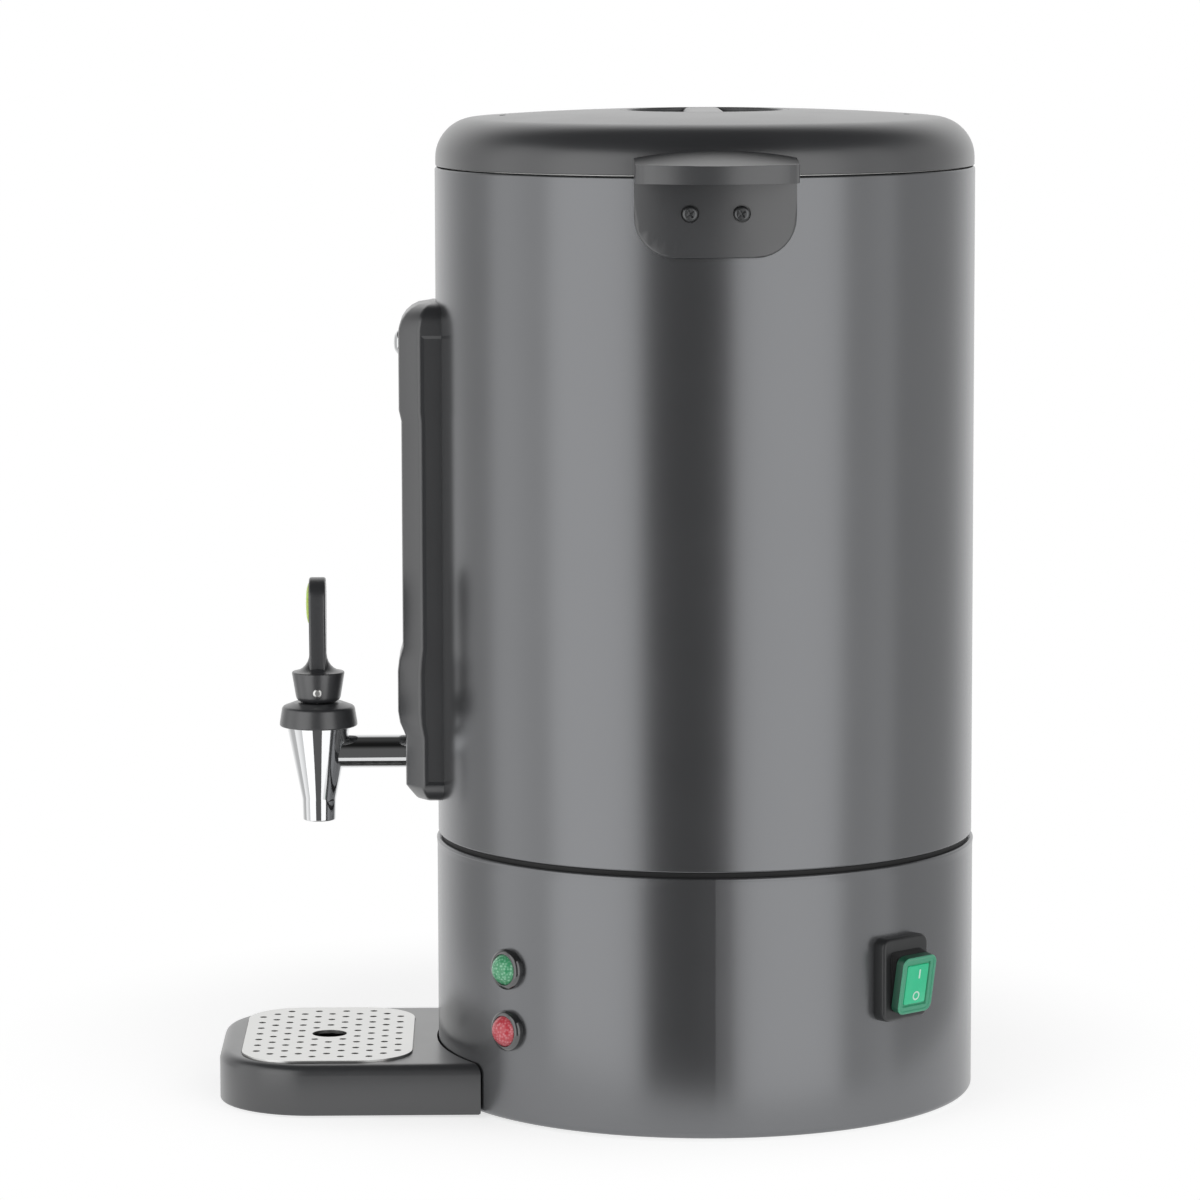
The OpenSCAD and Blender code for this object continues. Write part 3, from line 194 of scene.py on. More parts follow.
# %% Soft boxes
BOX_DISTANCE = 1.6
BOX_MIDDLE = 0.25
BOX_TALL = 2.6
AIM = Vector((0, 0, 0.22))


def soft_box(name, azimuth, width, level):
    """A lamp at an angle round from the camera, turned to the drum. At level 1 it is as bright as white."""
    lamp = bpy.data.lights.new(name, "AREA")
    lamp.shape = "RECTANGLE"
    lamp.size = width
    lamp.size_y = BOX_TALL
    lamp.energy = level * math.pi * width * BOX_TALL
    obj = bpy.data.objects.new(name, lamp)
    angle = math.radians(azimuth - CAMERA_TURN)
    obj.location = Vector((math.cos(angle), math.sin(angle), 0)) * BOX_DISTANCE + Vector((0, 0, BOX_MIDDLE))
    obj.rotation_mode = "QUATERNION"
    obj.rotation_quaternion = (AIM - obj.location).to_track_quat("-Z", "Y")
    bpy.context.scene.collection.objects.link(obj)


soft_box("left_box", -47, 1.2, 1.3)
soft_box("left_fill", -84, 0.95, 0.55)
soft_box("right_box", 34, 1.4, 1.25)
soft_box("right_fill", 71, 0.75, 0.5)

# %% [markdown]
# ## Floor
#
# The floor is the top of the white table. It shows a soft shadow near the urn and then melts into the
# backdrop. A large plane would show an edge or a grey tone. So a disc takes the shadow in its middle, glows
# a little, and turns plain white towards its rim. Mirrors and glass see the same floor as the camera does.

# %% Floor
FLOOR_MIDDLE = Vector((-0.1, -0.05, -0.0003))
FLOOR_R = 0.31
SHADOW_NEAR = 0.14
SHADOW_FAR = 0.3
FLOOR_GLOW = 0.6

floor_form = bmesh.new()
bmesh.ops.create_circle(floor_form, cap_ends=True, segments=96, radius=FLOOR_R)
bmesh.ops.translate(floor_form, vec=FLOOR_MIDDLE, verts=floor_form.verts)
floor_mesh = bpy.data.meshes.new("floor")
floor_form.to_mesh(floor_mesh)
floor_form.free()
floor = bpy.data.objects.new("floor", floor_mesh)
bpy.context.scene.collection.objects.link(floor)

white_floor, tree, output = blank("white_floor")
paint = put(tree, "ShaderNodeBsdfDiffuse", {"Color": linear("#f4f4f4")})
lit = put(tree, "ShaderNodeEmission", {"Strength": FLOOR_GLOW})
near = put(tree, "ShaderNodeAddShader", {0: paint.outputs[0], 1: lit.outputs[0]})
far = put(tree, "ShaderNodeEmission", {"Strength": 1.0})
coords = put(tree, "ShaderNodeTexCoord")
reach = put(tree, "ShaderNodeVectorMath", {
    0: coords.outputs["Object"], 1: FLOOR_MIDDLE}, operation="DISTANCE")
away = put(tree, "ShaderNodeMapRange", {
    "Value": reach.outputs["Value"], "From Min": SHADOW_NEAR, "From Max": SHADOW_FAR},
    interpolation_type="SMOOTHSTEP")
seen_floor = put(tree, "ShaderNodeMixShader", {0: away.outputs[0], 1: near.outputs[0], 2: far.outputs[0]})
ray = put(tree, "ShaderNodeLightPath")
clear = put(tree, "ShaderNodeMath", {
    0: ray.outputs["Is Camera Ray"], 1: ray.outputs["Is Transmission Ray"]}, operation="MAXIMUM")
either = put(tree, "ShaderNodeMath", {
    0: clear.outputs[0], 1: ray.outputs["Is Glossy Ray"]}, operation="MAXIMUM")
both = put(tree, "ShaderNodeMixShader", {
    0: either.outputs[0], 1: paint.outputs[0], 2: seen_floor.outputs[0]})
tree.links.new(both.outputs[0], output.inputs["Surface"])
floor_mesh.materials.append(white_floor)
print("floor radius in mm:", round(FLOOR_R / MM))

# %% [markdown]
# ## Finishes
#
# A finish is what the surface is and how it was made. The coating on the drum is sprayed and baked. The
# fittings are moulded in a spark-eroded tool, which leaves a matt grain. Metal is drawn, brushed, cast or
# plated. A flat colour would look like a toy, and a picture of a surface would have to be painted first.
# So one function makes a surface from noise of a real size in millimetres, which moves its height, its
# roughness and its shade. Grain that the render would lose is drawn a little coarser than it is.


# %% A finish with grain
def grained(name, colour, roughness, grain_mm, depth_mm, shade, rough_shade, shader=(), stretch=(1, 1, 1)):
    """A surface with grain. shader holds more inputs, and stretch draws the grain out along an axis."""
    material, tree, output = blank(name)
    coords = put(tree, "ShaderNodeTexCoord")
    scaled = put(tree, "ShaderNodeMapping", {"Vector": coords.outputs["Object"], "Scale": stretch})
    grain = put(tree, "ShaderNodeTexNoise", {
        "Vector": scaled.outputs[0], "Scale": 1 / (grain_mm * MM), "Detail": 3.0, "Roughness": 0.55})
    cloud = put(tree, "ShaderNodeTexNoise", {
        "Vector": scaled.outputs[0], "Scale": 1 / (grain_mm * 40 * MM), "Detail": 2.0})
    both = put(tree, "ShaderNodeMix", {
        0: 0.5, 2: grain.outputs["Fac"], 3: cloud.outputs["Fac"]}, data_type="FLOAT")
    dark = [c * (1 - shade) for c in linear(colour)[:3]]
    light = [c * (1 + shade) for c in linear(colour)[:3]]
    tint = put(tree, "ShaderNodeMix", {
        0: both.outputs[0], 6: (*dark, 1), 7: (*light, 1)}, data_type="RGBA")
    rough = put(tree, "ShaderNodeMapRange", {
        "Value": both.outputs[0],
        "To Min": max(roughness - rough_shade, 0.02), "To Max": roughness + rough_shade})
    bump = put(tree, "ShaderNodeBump", {
        "Height": grain.outputs["Fac"], "Strength": 1.0, "Distance": depth_mm * MM})
    surface = put(tree, "ShaderNodeBsdfPrincipled", {
        "Base Color": tint.outputs[2], "Roughness": rough.outputs[0], "Normal": bump.outputs[0],
        **dict(shader)})
    tree.links.new(surface.outputs[0], output.inputs["Surface"])
    return material


# %% Coats, plastics and rubbers
SHEEN = {"Specular IOR Level": 1.0, "Coat Weight": 0.4, "Coat Roughness": 0.3}

# Sprayed and baked paint with metal flake: wide soft stripes of light and a faint orange peel.
satin_coat = grained(
    "satin_baked_coat", "#7b7c7e", roughness=0.25, grain_mm=0.9, depth_mm=0.004, shade=0.04,
    rough_shade=0.03, shader={"Metallic": 0.9})
# ABS from a spark-eroded tool: near black, with a fine matt grain that spreads every highlight.
moulded_abs = grained(
    "grained_black_abs", "#3c3d3f", roughness=0.32, grain_mm=0.7, depth_mm=0.015, shade=0.1,
    rough_shade=0.06, shader=SHEEN)
# ABS from a smoother tool, on the tap: the same black with a finer grain.
tap_abs = grained(
    "fine_black_abs", "#3a3b3d", roughness=0.32, grain_mm=0.5, depth_mm=0.01, shade=0.08,
    rough_shade=0.05, shader=SHEEN)
# Polyamide from a polished tool: a smooth black with a clear edge of light.
gloss_black = grained(
    "gloss_black_polyamide", "#333435", roughness=0.3, grain_mm=0.6, depth_mm=0.006, shade=0.08,
    rough_shade=0.04)
# Polycarbonate from a polished tool, on the lamps: sharp small highlights on a dark ring.
lamp_trim = grained(
    "polished_dark_polycarbonate", "#2e2f30", roughness=0.12, grain_mm=2.0, depth_mm=0.004, shade=0.05,
    rough_shade=0.04, shader={"Specular IOR Level": 1.0, "Coat Weight": 1.0})
# Cured rubber: dull and almost without highlights.
rubber = grained(
    "black_epdm_rubber", "#161617", roughness=0.62, grain_mm=0.5, depth_mm=0.03, shade=0.15,
    rough_shade=0.08)
# Cast silicone: milky, because light goes a little way in.
silicone = grained(
    "clear_grey_silicone", "#cfccc2", roughness=0.42, grain_mm=1.2, depth_mm=0.01, shade=0.06,
    rough_shade=0.05, shader={"Subsurface Weight": 0.3})
# Pressed and fired steatite without glaze: a chalky cream.
ceramic = grained(
    "unglazed_steatite", "#d9d2c2", roughness=0.6, grain_mm=0.6, depth_mm=0.03, shade=0.08,
    rough_shade=0.08)
print("drum coat:", satin_coat.name)

# %% Metals
# Brushed steel: fine lines along the sheet break the reflections into streaks.
stainless = grained(
    "brushed_stainless_steel", "#dcdcda", roughness=0.3, grain_mm=0.4, depth_mm=0.004, shade=0.06,
    rough_shade=0.07, shader={"Metallic": 1.0}, stretch=(1, 1, 0.05))
# Zinc plate on steel: a grey metal with a cloudy shine.
zinc = grained(
    "zinc_plated_steel", "#b9bab9", roughness=0.36, grain_mm=0.8, depth_mm=0.008, shade=0.1,
    rough_shade=0.08, shader={"Metallic": 1.0})
# Cast aluminium: pale and dull, with the grain of the mould.
cast_alloy = grained(
    "cast_aluminium", "#b4b4b2", roughness=0.5, grain_mm=0.9, depth_mm=0.04, shade=0.1,
    rough_shade=0.08, shader={"Metallic": 1.0})
# Polished chrome plate: a mirror with slow waves.
chrome = grained(
    "polished_chrome_plate", "#dcddde", roughness=0.05, grain_mm=6.0, depth_mm=0.004, shade=0.02,
    rough_shade=0.02, shader={"Metallic": 1.0})
# Oxide on steel screws: a dark metal with soft highlights.
black_oxide = grained(
    "black_oxide_steel", "#626364", roughness=0.34, grain_mm=0.5, depth_mm=0.01, shade=0.15,
    rough_shade=0.08, shader={"Metallic": 0.9})
print("tap metal:", chrome.name)


# %% A lens with pillows
def painted_glint_lens(name, deep, pale, cell_mm):
    """A coloured moulding whose inner face is cast in small pillows, with a pale glint painted in each."""
    material, tree, output = blank(name)
    coords = put(tree, "ShaderNodeTexCoord")
    cells = put(tree, "ShaderNodeTexVoronoi", {
        "Vector": coords.outputs["Object"], "Scale": 1 / (cell_mm * MM), "Randomness": 0.7})
    # Paint a pale glint in the middle of each cell, from the pale colour to the deep one.
    painted_glint = put(tree, "ShaderNodeMapRange", {
        "Value": cells.outputs["Distance"], "From Min": 0.1, "From Max": 0.6})
    tint = put(tree, "ShaderNodeMix", {
        0: painted_glint.outputs[0], 6: linear(pale), 7: linear(deep)}, data_type="RGBA")
    surface = put(tree, "ShaderNodeBsdfPrincipled", {
        "Base Color": tint.outputs[2], "Roughness": 0.12, "IOR": 1.58, "Transmission Weight": 0.15})
    tree.links.new(surface.outputs[0], output.inputs["Surface"])
    return material


# %% Clear and coloured plastics
# Polycarbonate lenses, cast over pillows: painted bright glints in a clear colour.
green_lens = painted_glint_lens("green_polycarbonate", "#55b681", "#a8eec6", cell_mm=1.2)
red_lens = painted_glint_lens("red_polycarbonate", "#e8535f", "#ff9fa9", cell_mm=1.2)
# Moulded polypropylene: a waxy bright colour, because light goes a little way in.
lime = grained(
    "lime_polypropylene", "#c6e23e", roughness=0.3, grain_mm=0.8, depth_mm=0.006, shade=0.05,
    rough_shade=0.05, shader={"Subsurface Weight": 0.2})
# Silicone of the switch cap: its sides take a darker copy of the green as painted shade, and the top is
# paler and a little clear.
rocker_painted_shade = grained(
    "green_silicone_painted_shade", "#245743", roughness=0.34, grain_mm=0.8, depth_mm=0.006, shade=0.08,
    rough_shade=0.06)
rocker_green = grained(
    "green_silicone_cap", "#5cbf98", roughness=0.3, grain_mm=0.8, depth_mm=0.006, shade=0.08,
    rough_shade=0.06, shader={"Transmission Weight": 0.2})
# The window over the switch's lamp: the brightest green, slightly cloudy.
rocker_window = grained(
    "lit_green_window", "#2fdba0", roughness=0.3, grain_mm=1.5, depth_mm=0.01, shade=0.1,
    rough_shade=0.05, shader={"Coat Weight": 0.3})
# Pad-printed ink: a pale matt film.
mark_paint = grained(
    "pale_pad_print", "#d8fbea", roughness=0.4, grain_mm=0.4, depth_mm=0.003, shade=0.04,
    rough_shade=0.04)
# Drawn glass tube: clear, with slow waves along it.
glass = grained(
    "borosilicate_glass", "#f2f7f7", roughness=0.02, grain_mm=8.0, depth_mm=0.002, shade=0.01,
    rough_shade=0.0, shader={"Transmission Weight": 1.0, "IOR": 1.47})

finishes = {
    "coated_steel": satin_coat, "stainless": stainless, "zinc_steel": zinc, "aluminium": cast_alloy,
    "ceramic": ceramic, "black_plastic": moulded_abs, "black_rubber": rubber, "silicone": silicone,
    "chrome": chrome, "black_screw": black_oxide, "gauge_glass": glass, "green_lens": green_lens,
    "red_lens": red_lens, "rocker_green": rocker_green, "rocker_window": rocker_window,
    "lime_insert": lime,
}
for part in frame["record"]["subparts"]:
    data = nodes[part["node"]].data
    data.materials.clear()
    data.materials.append(finishes[part["material_slot"]])
print("finishes:", sorted(m.name for m in finishes.values()))

# %% [markdown]
# ## How the pieces are made
#
# Most of the urn is turned or pressed round. A round piece could be a stack of cylinders, but its corners
# would stay sharp. So most pieces start as a half profile of a few points: a vertex bevel rounds the
# corners that need it, and a spin makes the round form. Mouldings that aren't round start as a flat outline
# that is raised to a block, cut into bands and bent to its form. Every moulding gets the small edge radius
# that catches the light. Blender lists the points of a spun or cut form in no fixed order, so forms are
# settled: their points and faces are sorted, and every run gives the same mesh.


# %% Places and round corners
def on_wall(angle, z, radius=0.0):
    """The frame of a piece on the drum's side: x runs round, y up and z outwards."""
    return (Matrix.Rotation(math.radians(angle), 4, "Z") @ Matrix.Translation((radius * MM, 0, z * MM))
            @ Matrix.Rotation(math.radians(90), 4, "Z") @ Matrix.Rotation(math.radians(90), 4, "X"))


def round_corner(bm, vert, radius, steps):
    """Round one corner of an outline. The bevel's offset is measured along the edges."""
    a, b = [edge.other_vert(vert).co - vert.co for edge in vert.link_edges]
    offset = radius * MM * math.tan((math.pi - a.angle(b)) / 2)
    bmesh.ops.bevel(bm, geom=[vert], offset=offset, offset_type="OFFSET", segments=steps, profile=0.5,
                    affect="VERTICES", material=-1)


print("the front of the drum is at", on_wall(-90, 0, 119).translation)


# %% A fixed order
SORT_DIGITS = 4


def settled(bm):
    """The same form with its points and faces in a fixed order, so that every run gives the same mesh."""
    points = sorted(bm.verts, key=lambda vert: [round(c / MM, SORT_DIGITS) for c in vert.co])
    for index, vert in enumerate(points):
        vert.index = index
    rows = []
    for face in bm.faces:
        row = [vert.index for vert in face.verts]
        first = row.index(min(row))
        rows.append((row[first:] + row[:first], face.material_index))
    form = bmesh.new()
    verts = [form.verts.new(vert.co) for vert in points]
    for row, material_index in sorted(rows):
        face = form.faces.new([verts[index] for index in row])
        face.material_index = material_index
    bm.free()
    form.normal_update()
    return form


# %% Turned forms
def turned(profile, rounds=(), closed=True, steps=128, arc_steps=6):
    """Spin a half profile of (radius, height) in mm. rounds gives the corner radius of some points."""
    bm = bmesh.new()
    verts = [bm.verts.new((r * MM, 0, z * MM)) for r, z in profile]
    pairs = list(zip(verts, verts[1:]))
    if closed:
        pairs.append((verts[-1], verts[0]))
    for a, b in pairs:
        bm.edges.new((a, b))
    for index, radius in dict(rounds).items():
        round_corner(bm, verts[index], radius, arc_steps)
    bmesh.ops.spin(bm, geom=bm.verts[:] + bm.edges[:], cent=(0, 0, 0), axis=(0, 0, 1), angle=math.tau,
                   steps=steps, use_merge=True)
    bmesh.ops.remove_doubles(bm, verts=bm.verts, dist=1e-6)
    bmesh.ops.recalc_face_normals(bm, faces=bm.faces)
    return bm


# %% Raised outlines
def raised(outline, low, high, rounds=(), arc_steps=8):
    """A block from a flat outline in mm, between two heights. rounds gives the radius of some corners."""
    bm = bmesh.new()
    verts = [bm.verts.new((x * MM, y * MM, low * MM)) for x, y in outline]
    bm.faces.new(verts)
    for index, radius in dict(rounds).items():
        round_corner(bm, verts[index], radius, arc_steps)
    bmesh.ops.remove_doubles(bm, verts=bm.verts, dist=1e-6)
    grown = bmesh.ops.extrude_face_region(bm, geom=bm.faces[:], use_keep_orig=True)
    lifted = [g for g in grown["geom"] if isinstance(g, bmesh.types.BMVert)]
    bmesh.ops.translate(bm, vec=(0, 0, (high - low) * MM), verts=lifted)
    bmesh.ops.recalc_face_normals(bm, faces=bm.faces)
    return bm


def box_outline(width, height, middle=(0, 0)):
    """The four corners of a rectangle."""
    x, y = width / 2, height / 2
    return [(middle[0] + a * x, middle[1] + b * y) for a, b in ((-1, -1), (1, -1), (1, 1), (-1, 1))]


def round_block(width, height, corner, low, high, middle=(0, 0)):
    """A raised rectangle with four round corners."""
    return raised(box_outline(width, height, middle), low, high, {i: corner for i in range(4)})


# %% Soft edges and bands
def above(edge, z):
    """Whether an edge lies above a height in mm."""
    return all(vert.co.z > z * MM for vert in edge.verts)


def below(edge, z):
    """Whether an edge lies below a height in mm."""
    return all(vert.co.z < z * MM for vert in edge.verts)


def soften(bm, radius, steps=3, where=lambda edge: True, angle=30.0):
    """Bevel the edges that turn by more than an angle and that the test picks."""
    limit = math.radians(angle)
    edges = [e for e in bm.edges if len(e.link_faces) == 2 and e.calc_face_angle() > limit and where(e)]
    bmesh.ops.bevel(bm, geom=edges, offset=radius * MM, offset_type="OFFSET", segments=steps, profile=0.5,
                    affect="EDGES", material=-1, clamp_overlap=True)
    bmesh.ops.remove_doubles(bm, verts=bm.verts, dist=1e-6)
    return bm


def bands(bm, axis, places):
    """Cut a form into bands at places along an axis, so that it can be bent."""
    normal = Vector([float(i == axis) for i in range(3)])
    for at in places:
        bmesh.ops.bisect_plane(bm, geom=bm.verts[:] + bm.edges[:] + bm.faces[:], plane_co=normal * at * MM,
                               plane_no=normal, dist=1e-7)
        bm = settled(bm)
    return bm


# %% Joining, placing and cutting
def joined(*forms):
    """Several forms in one mesh."""
    whole = bmesh.new()
    for form in forms:
        mesh = bpy.data.meshes.new("part")
        form.to_mesh(mesh)
        form.free()
        whole.from_mesh(mesh)
        bpy.data.meshes.remove(mesh)
    return whole


def placed(bm, place):
    """Move a form to its place."""
    bmesh.ops.transform(bm, matrix=place, verts=bm.verts)
    return bm


def cut_away(bm, *cutters):
    """Cut closed forms out of a block with Boolean modifiers, and give back the result as a new bmesh."""
    made = []
    for form in (bm, *cutters):
        form = settled(form)
        mesh = bpy.data.meshes.new("cut")
        form.to_mesh(mesh)
        form.free()
        obj = bpy.data.objects.new("cut", mesh)
        bpy.context.scene.collection.objects.link(obj)
        made.append(obj)
    for tool in made[1:]:
        boolean = made[0].modifiers.new("cut", "BOOLEAN")
        boolean.operation = "DIFFERENCE"
        boolean.solver = "EXACT"
        boolean.object = tool
    result = bmesh.new()
    result.from_object(made[0], bpy.context.evaluated_depsgraph_get())
    for obj in made:
        mesh = obj.data
        bpy.data.objects.remove(obj)
        bpy.data.meshes.remove(mesh)
    result = settled(result)
    bmesh.ops.remove_doubles(result, verts=result.verts, dist=1e-6)
    return result


def piece(name, bm, body, stands_for, material, place=None, sharp=32.0):
    """Make the object of a finished bmesh, smooth but for its sharp edges, and put it on its body."""
    if place is not None:
        placed(bm, place)
    bm = settled(bm)
    mesh = bpy.data.meshes.new(name)
    bm.to_mesh(mesh)
    bm.free()
    mesh.shade_smooth()
    mesh.set_sharp_from_angle(angle=math.radians(sharp))
    mesh.materials.append(material)
    obj = bpy.data.objects.new(name, mesh)
    bpy.context.scene.collection.objects.link(obj)
    if body:
        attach(obj, body)
    for node in stands_for:
        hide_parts(node)
    print(name, "has", len(mesh.polygons), "faces")
    return obj


# %% [markdown]
# ## Drum and base
#
# The drum is one rolled sheet with a rounded lower edge and a rim that is turned in over the tank. It could
# be a cylinder with a thickness, but then both edges would be square. So its wall is one closed profile,
# spun round. The base is a second sheet, a little wider, with a hem along the table and a rolled bead under
# the seam. It keeps its solid's mesh, with its holes and slot, because a pressed sheet is just that shape.

# %% Drum
DRUM_R = 119.0
BASE_R = 119.5
SHELL_Z = 116.7
RIM_Z = 412.5
LIP_R = 110.6
SHEET = 1.0
FOOT_ROUND = 1.2
RIM_ROUND = 1.4

wall = turned(
    [(LIP_R, SHELL_Z), (DRUM_R, SHELL_Z), (DRUM_R, 200), (DRUM_R, 300), (DRUM_R, RIM_Z), (LIP_R, RIM_Z),
     (LIP_R, RIM_Z - SHEET), (DRUM_R - SHEET, RIM_Z - SHEET), (DRUM_R - SHEET, SHELL_Z + SHEET),
     (LIP_R, SHELL_Z + SHEET)],
    {1: FOOT_ROUND, 4: RIM_ROUND}, steps=192)
piece("drum_wall", wall, "urn", ["outer_shell"], satin_coat)

# %% [markdown]
# ## Lid
#
# The lid is a moulded dome whose edge runs round into a very flat crown. Two small steam slots are let into
# it, front and rear. In its middle sits a cup with a bar across it, and the bar is the grip. A sphere would
# give the crown but not the edge, so the dome is spun from points on the crown's arc and one large bevel at
# the corner. The slots are cut out with small blocks whose edges are rounded, as a mould would leave them.

# %% Lid cover
LID_R = 118.7
LID_LOW = 412.9
LID_TOP = 437.5
CROWN_R = 1482.3
LID_EDGE = 17.5
LID_WALL = 2.5
CUP_OUT_R = 37.0
CUP_HOLE_R = CUP_OUT_R + 0.15
STEAM_SLOT_AT = 89.0
STEAM_SLOT_L = 7.5
STEAM_SLOT_W = 2.6
STEAM_SLOT_DEPTH = 1.2


def crown(radius):
    """Height of the lid's crown at a radius."""
    return LID_TOP - CROWN_R + math.sqrt(CROWN_R ** 2 - radius ** 2)


crown_end = (LID_R - LID_EDGE) * CROWN_R / (CROWN_R - LID_EDGE)
crown_slope = crown_end / math.sqrt(CROWN_R ** 2 - crown_end ** 2)
corner_z = crown(crown_end) - crown_slope * (LID_R - crown_end)
dome = turned(
    [(CUP_HOLE_R, crown(CUP_OUT_R) - 0.3), (CUP_OUT_R + 0.5, crown(CUP_OUT_R)), (52, crown(52)),
     (68, crown(68)), (84, crown(84)), (LID_R, corner_z), (LID_R, LID_LOW), (LID_R - LID_WALL, LID_LOW),
     (LID_R - LID_WALL, corner_z - LID_WALL), (84, crown(84) - LID_WALL),
     (CUP_HOLE_R, crown(CUP_OUT_R) - LID_WALL)],
    {5: LID_EDGE, 6: 0.5, 8: LID_EDGE - LID_WALL}, steps=192, arc_steps=14)
slot_low = crown(STEAM_SLOT_AT) - STEAM_SLOT_DEPTH
slots = []
for side in (-1, 1):
    slot = soften(round_block(STEAM_SLOT_L, STEAM_SLOT_W, 1.25, 0, 8), 0.3)
    slots.append(placed(slot, Matrix.Translation((0, side * STEAM_SLOT_AT * MM, slot_low * MM))))
piece("lid_dome", cut_away(dome, *slots), "lid", ["lid_cover"], moulded_abs, sharp=40)

# %% Grip cup and bar
CUP_R = 34.5
CUP_FLOOR = LID_TOP - 19
BAR_W = 18.0
BAR_T = 9.0
BAR_ROUND = 3.2

cup = turned(
    [(0, CUP_FLOOR), (CUP_R, CUP_FLOOR), (CUP_R, crown(CUP_R)), (CUP_OUT_R, crown(CUP_OUT_R)),
     (CUP_OUT_R, CUP_FLOOR - LID_WALL), (0, CUP_FLOOR - LID_WALL)],
    {1: 5.0, 2: 0.8, 3: 0.4}, closed=False, steps=144)
bar_low = LID_TOP - BAR_T
bar_top = crown(CUP_R) - 0.1
bar_section = box_outline(BAR_W, bar_top - bar_low, (0, (bar_low + bar_top) / 2))
bar = raised(bar_section, -CUP_R - 1, CUP_R + 1, {i: BAR_ROUND for i in range(4)})
placed(bar, Matrix.Rotation(math.radians(90), 4, "Z") @ Matrix.Rotation(math.radians(90), 4, "X"))
piece("lid_grip_cup", joined(cup, bar), "lid", ["lid_grip"], moulded_abs, sharp=40)

# %% [markdown]
# ## Handles
#
# A handle is one moulding: a thin plate that hugs the drum and holds two screws, and a bowed ledge on top
# of it that the fingers reach under. It could be sculpted from one block, but two simple forms are easier
# to keep true. The ledge is a flat outline raised to a block, cut into bands and given its arched top. The
# plate is a flat outline with two sunk holes, cut into bands and wrapped round the drum.

# %% Sizes of the handles
HANDLE_W = 68.4
HANDLE_REACH = 32.5
GRIP_UNDER = RIM_Z - 1.9
GRIP_FACE = 7.6
GRIP_ARCH = 6.5
GRIP_FALL = 4.2
GRIP_BOW = 0.0077
GRIP_CORNER = 8.0
PLATE_LOW = RIM_Z - 34
PLATE_TOP = GRIP_UNDER + 2
PLATE_T = 3.0
PLATE_CORNER = 17.0
SCREW_PITCH = 21.7
SCREW_Z = RIM_Z - 15.3
SCREW_HOLE_R = 2.2
SINK_R = 3.8
half_w = HANDLE_W / 2
front_x = DRUM_R + HANDLE_REACH
print("a handle ends at", front_x, "mm")


# %% Shaping a handle
def grip_top(x, y):
    """Height of the grip's upper face: arched at the drum, nearly level along the front."""
    share = (x / MM - (DRUM_R - 8)) / (HANDLE_REACH + 8)
    arch = GRIP_ARCH * (1 - share)
    fall = GRIP_FALL * (1 - share) + GRIP_FALL / 8 * share
    return (GRIP_UNDER + GRIP_FACE + arch - fall * (y / MM / half_w) ** 2) * MM


def off_drum(edge):
    """Whether an edge stands clear of the drum's wall."""
    return all(vert.co.xy.length > (DRUM_R + 1) * MM for vert in edge.verts)


def grip_ledge():
    """The ledge, with its bowed front, arched top and soft edges."""
    ends = [(math.sqrt((DRUM_R + 0.1) ** 2 - (half_w * i / 6) ** 2), half_w * i / 6) for i in range(-6, 7)]
    bow = [(front_x - GRIP_BOW * (half_w * i / 4) ** 2, half_w * i / 4) for i in range(3, -4, -1)]
    side_x = front_x - GRIP_BOW * half_w ** 2
    outline = ends + [(side_x, half_w)] + bow + [(side_x, -half_w)]
    corners = {len(ends): GRIP_CORNER, len(outline) - 1: GRIP_CORNER}
    grip = raised(outline, GRIP_UNDER, GRIP_UNDER + 20, corners, 6)
    grip = bands(grip, 0, range(118, 152, 4))
    grip = bands(grip, 1, [half_w * i / 8 for i in range(-7, 8)])
    for vert in grip.verts:
        if vert.co.z > (GRIP_UNDER + 10) * MM:
            vert.co.z = grip_top(vert.co.x, vert.co.y)
    soften(grip, 2.0, 4, lambda e: off_drum(e) and above(e, GRIP_UNDER + 2), 40)
    soften(grip, 1.2, 3, lambda e: off_drum(e) and below(e, GRIP_UNDER + 1), 40)
    return grip


def wall_plate():
    """The plate, with its two sunk screw holes, wrapped round the drum."""
    outline = box_outline(HANDLE_W, PLATE_TOP - PLATE_LOW, (0, (PLATE_TOP + PLATE_LOW) / 2))
    plate = raised(outline, 0.1, PLATE_T, {0: PLATE_CORNER, 1: PLATE_CORNER})
    soften(plate, 0.9, 3, lambda e: above(e, 2) and all(v.co.y < GRIP_UNDER * MM for v in e.verts))
    sinks = []
    for side in (-1, 1):
        sink = turned(
            [(0, -1), (SCREW_HOLE_R, -1), (SCREW_HOLE_R, PLATE_T - 1), (SINK_R, PLATE_T - 1),
             (SINK_R, 6), (0, 6)],
            closed=False, steps=40)
        sinks.append(placed(sink, Matrix.Translation((side * SCREW_PITCH / 2 * MM, SCREW_Z * MM, 0))))
    plate = cut_away(plate, *sinks)
    bmesh.ops.triangulate(plate, faces=plate.faces)
    plate = bands(plate, 0, range(-32, 33, 4))
    for vert in plate.verts:
        y, z, depth = vert.co
        vert.co = (math.sqrt((DRUM_R * MM + depth) ** 2 - y ** 2), y, z)
    bmesh.ops.recalc_face_normals(plate, faces=plate.faces)
    return plate


# %% Handles
for name, node, turn in (("handle_right", "right_handle", 0), ("handle_left", "left_handle", 180)):
    spun = Matrix.Rotation(math.radians(turn), 4, "Z")
    piece(name, joined(grip_ledge(), wall_plate()), "urn", [node], moulded_abs, spun, sharp=38)

# %% Handle screws
HEAD_R = 3.3
HEAD_T = 2.2
SEAT_R = DRUM_R + PLATE_T - 1
CROSS = ((3.8, 0.8), (0.8, 3.8))
CROSS_DEPTH = 1.4
CROSS_TURN = 0.6

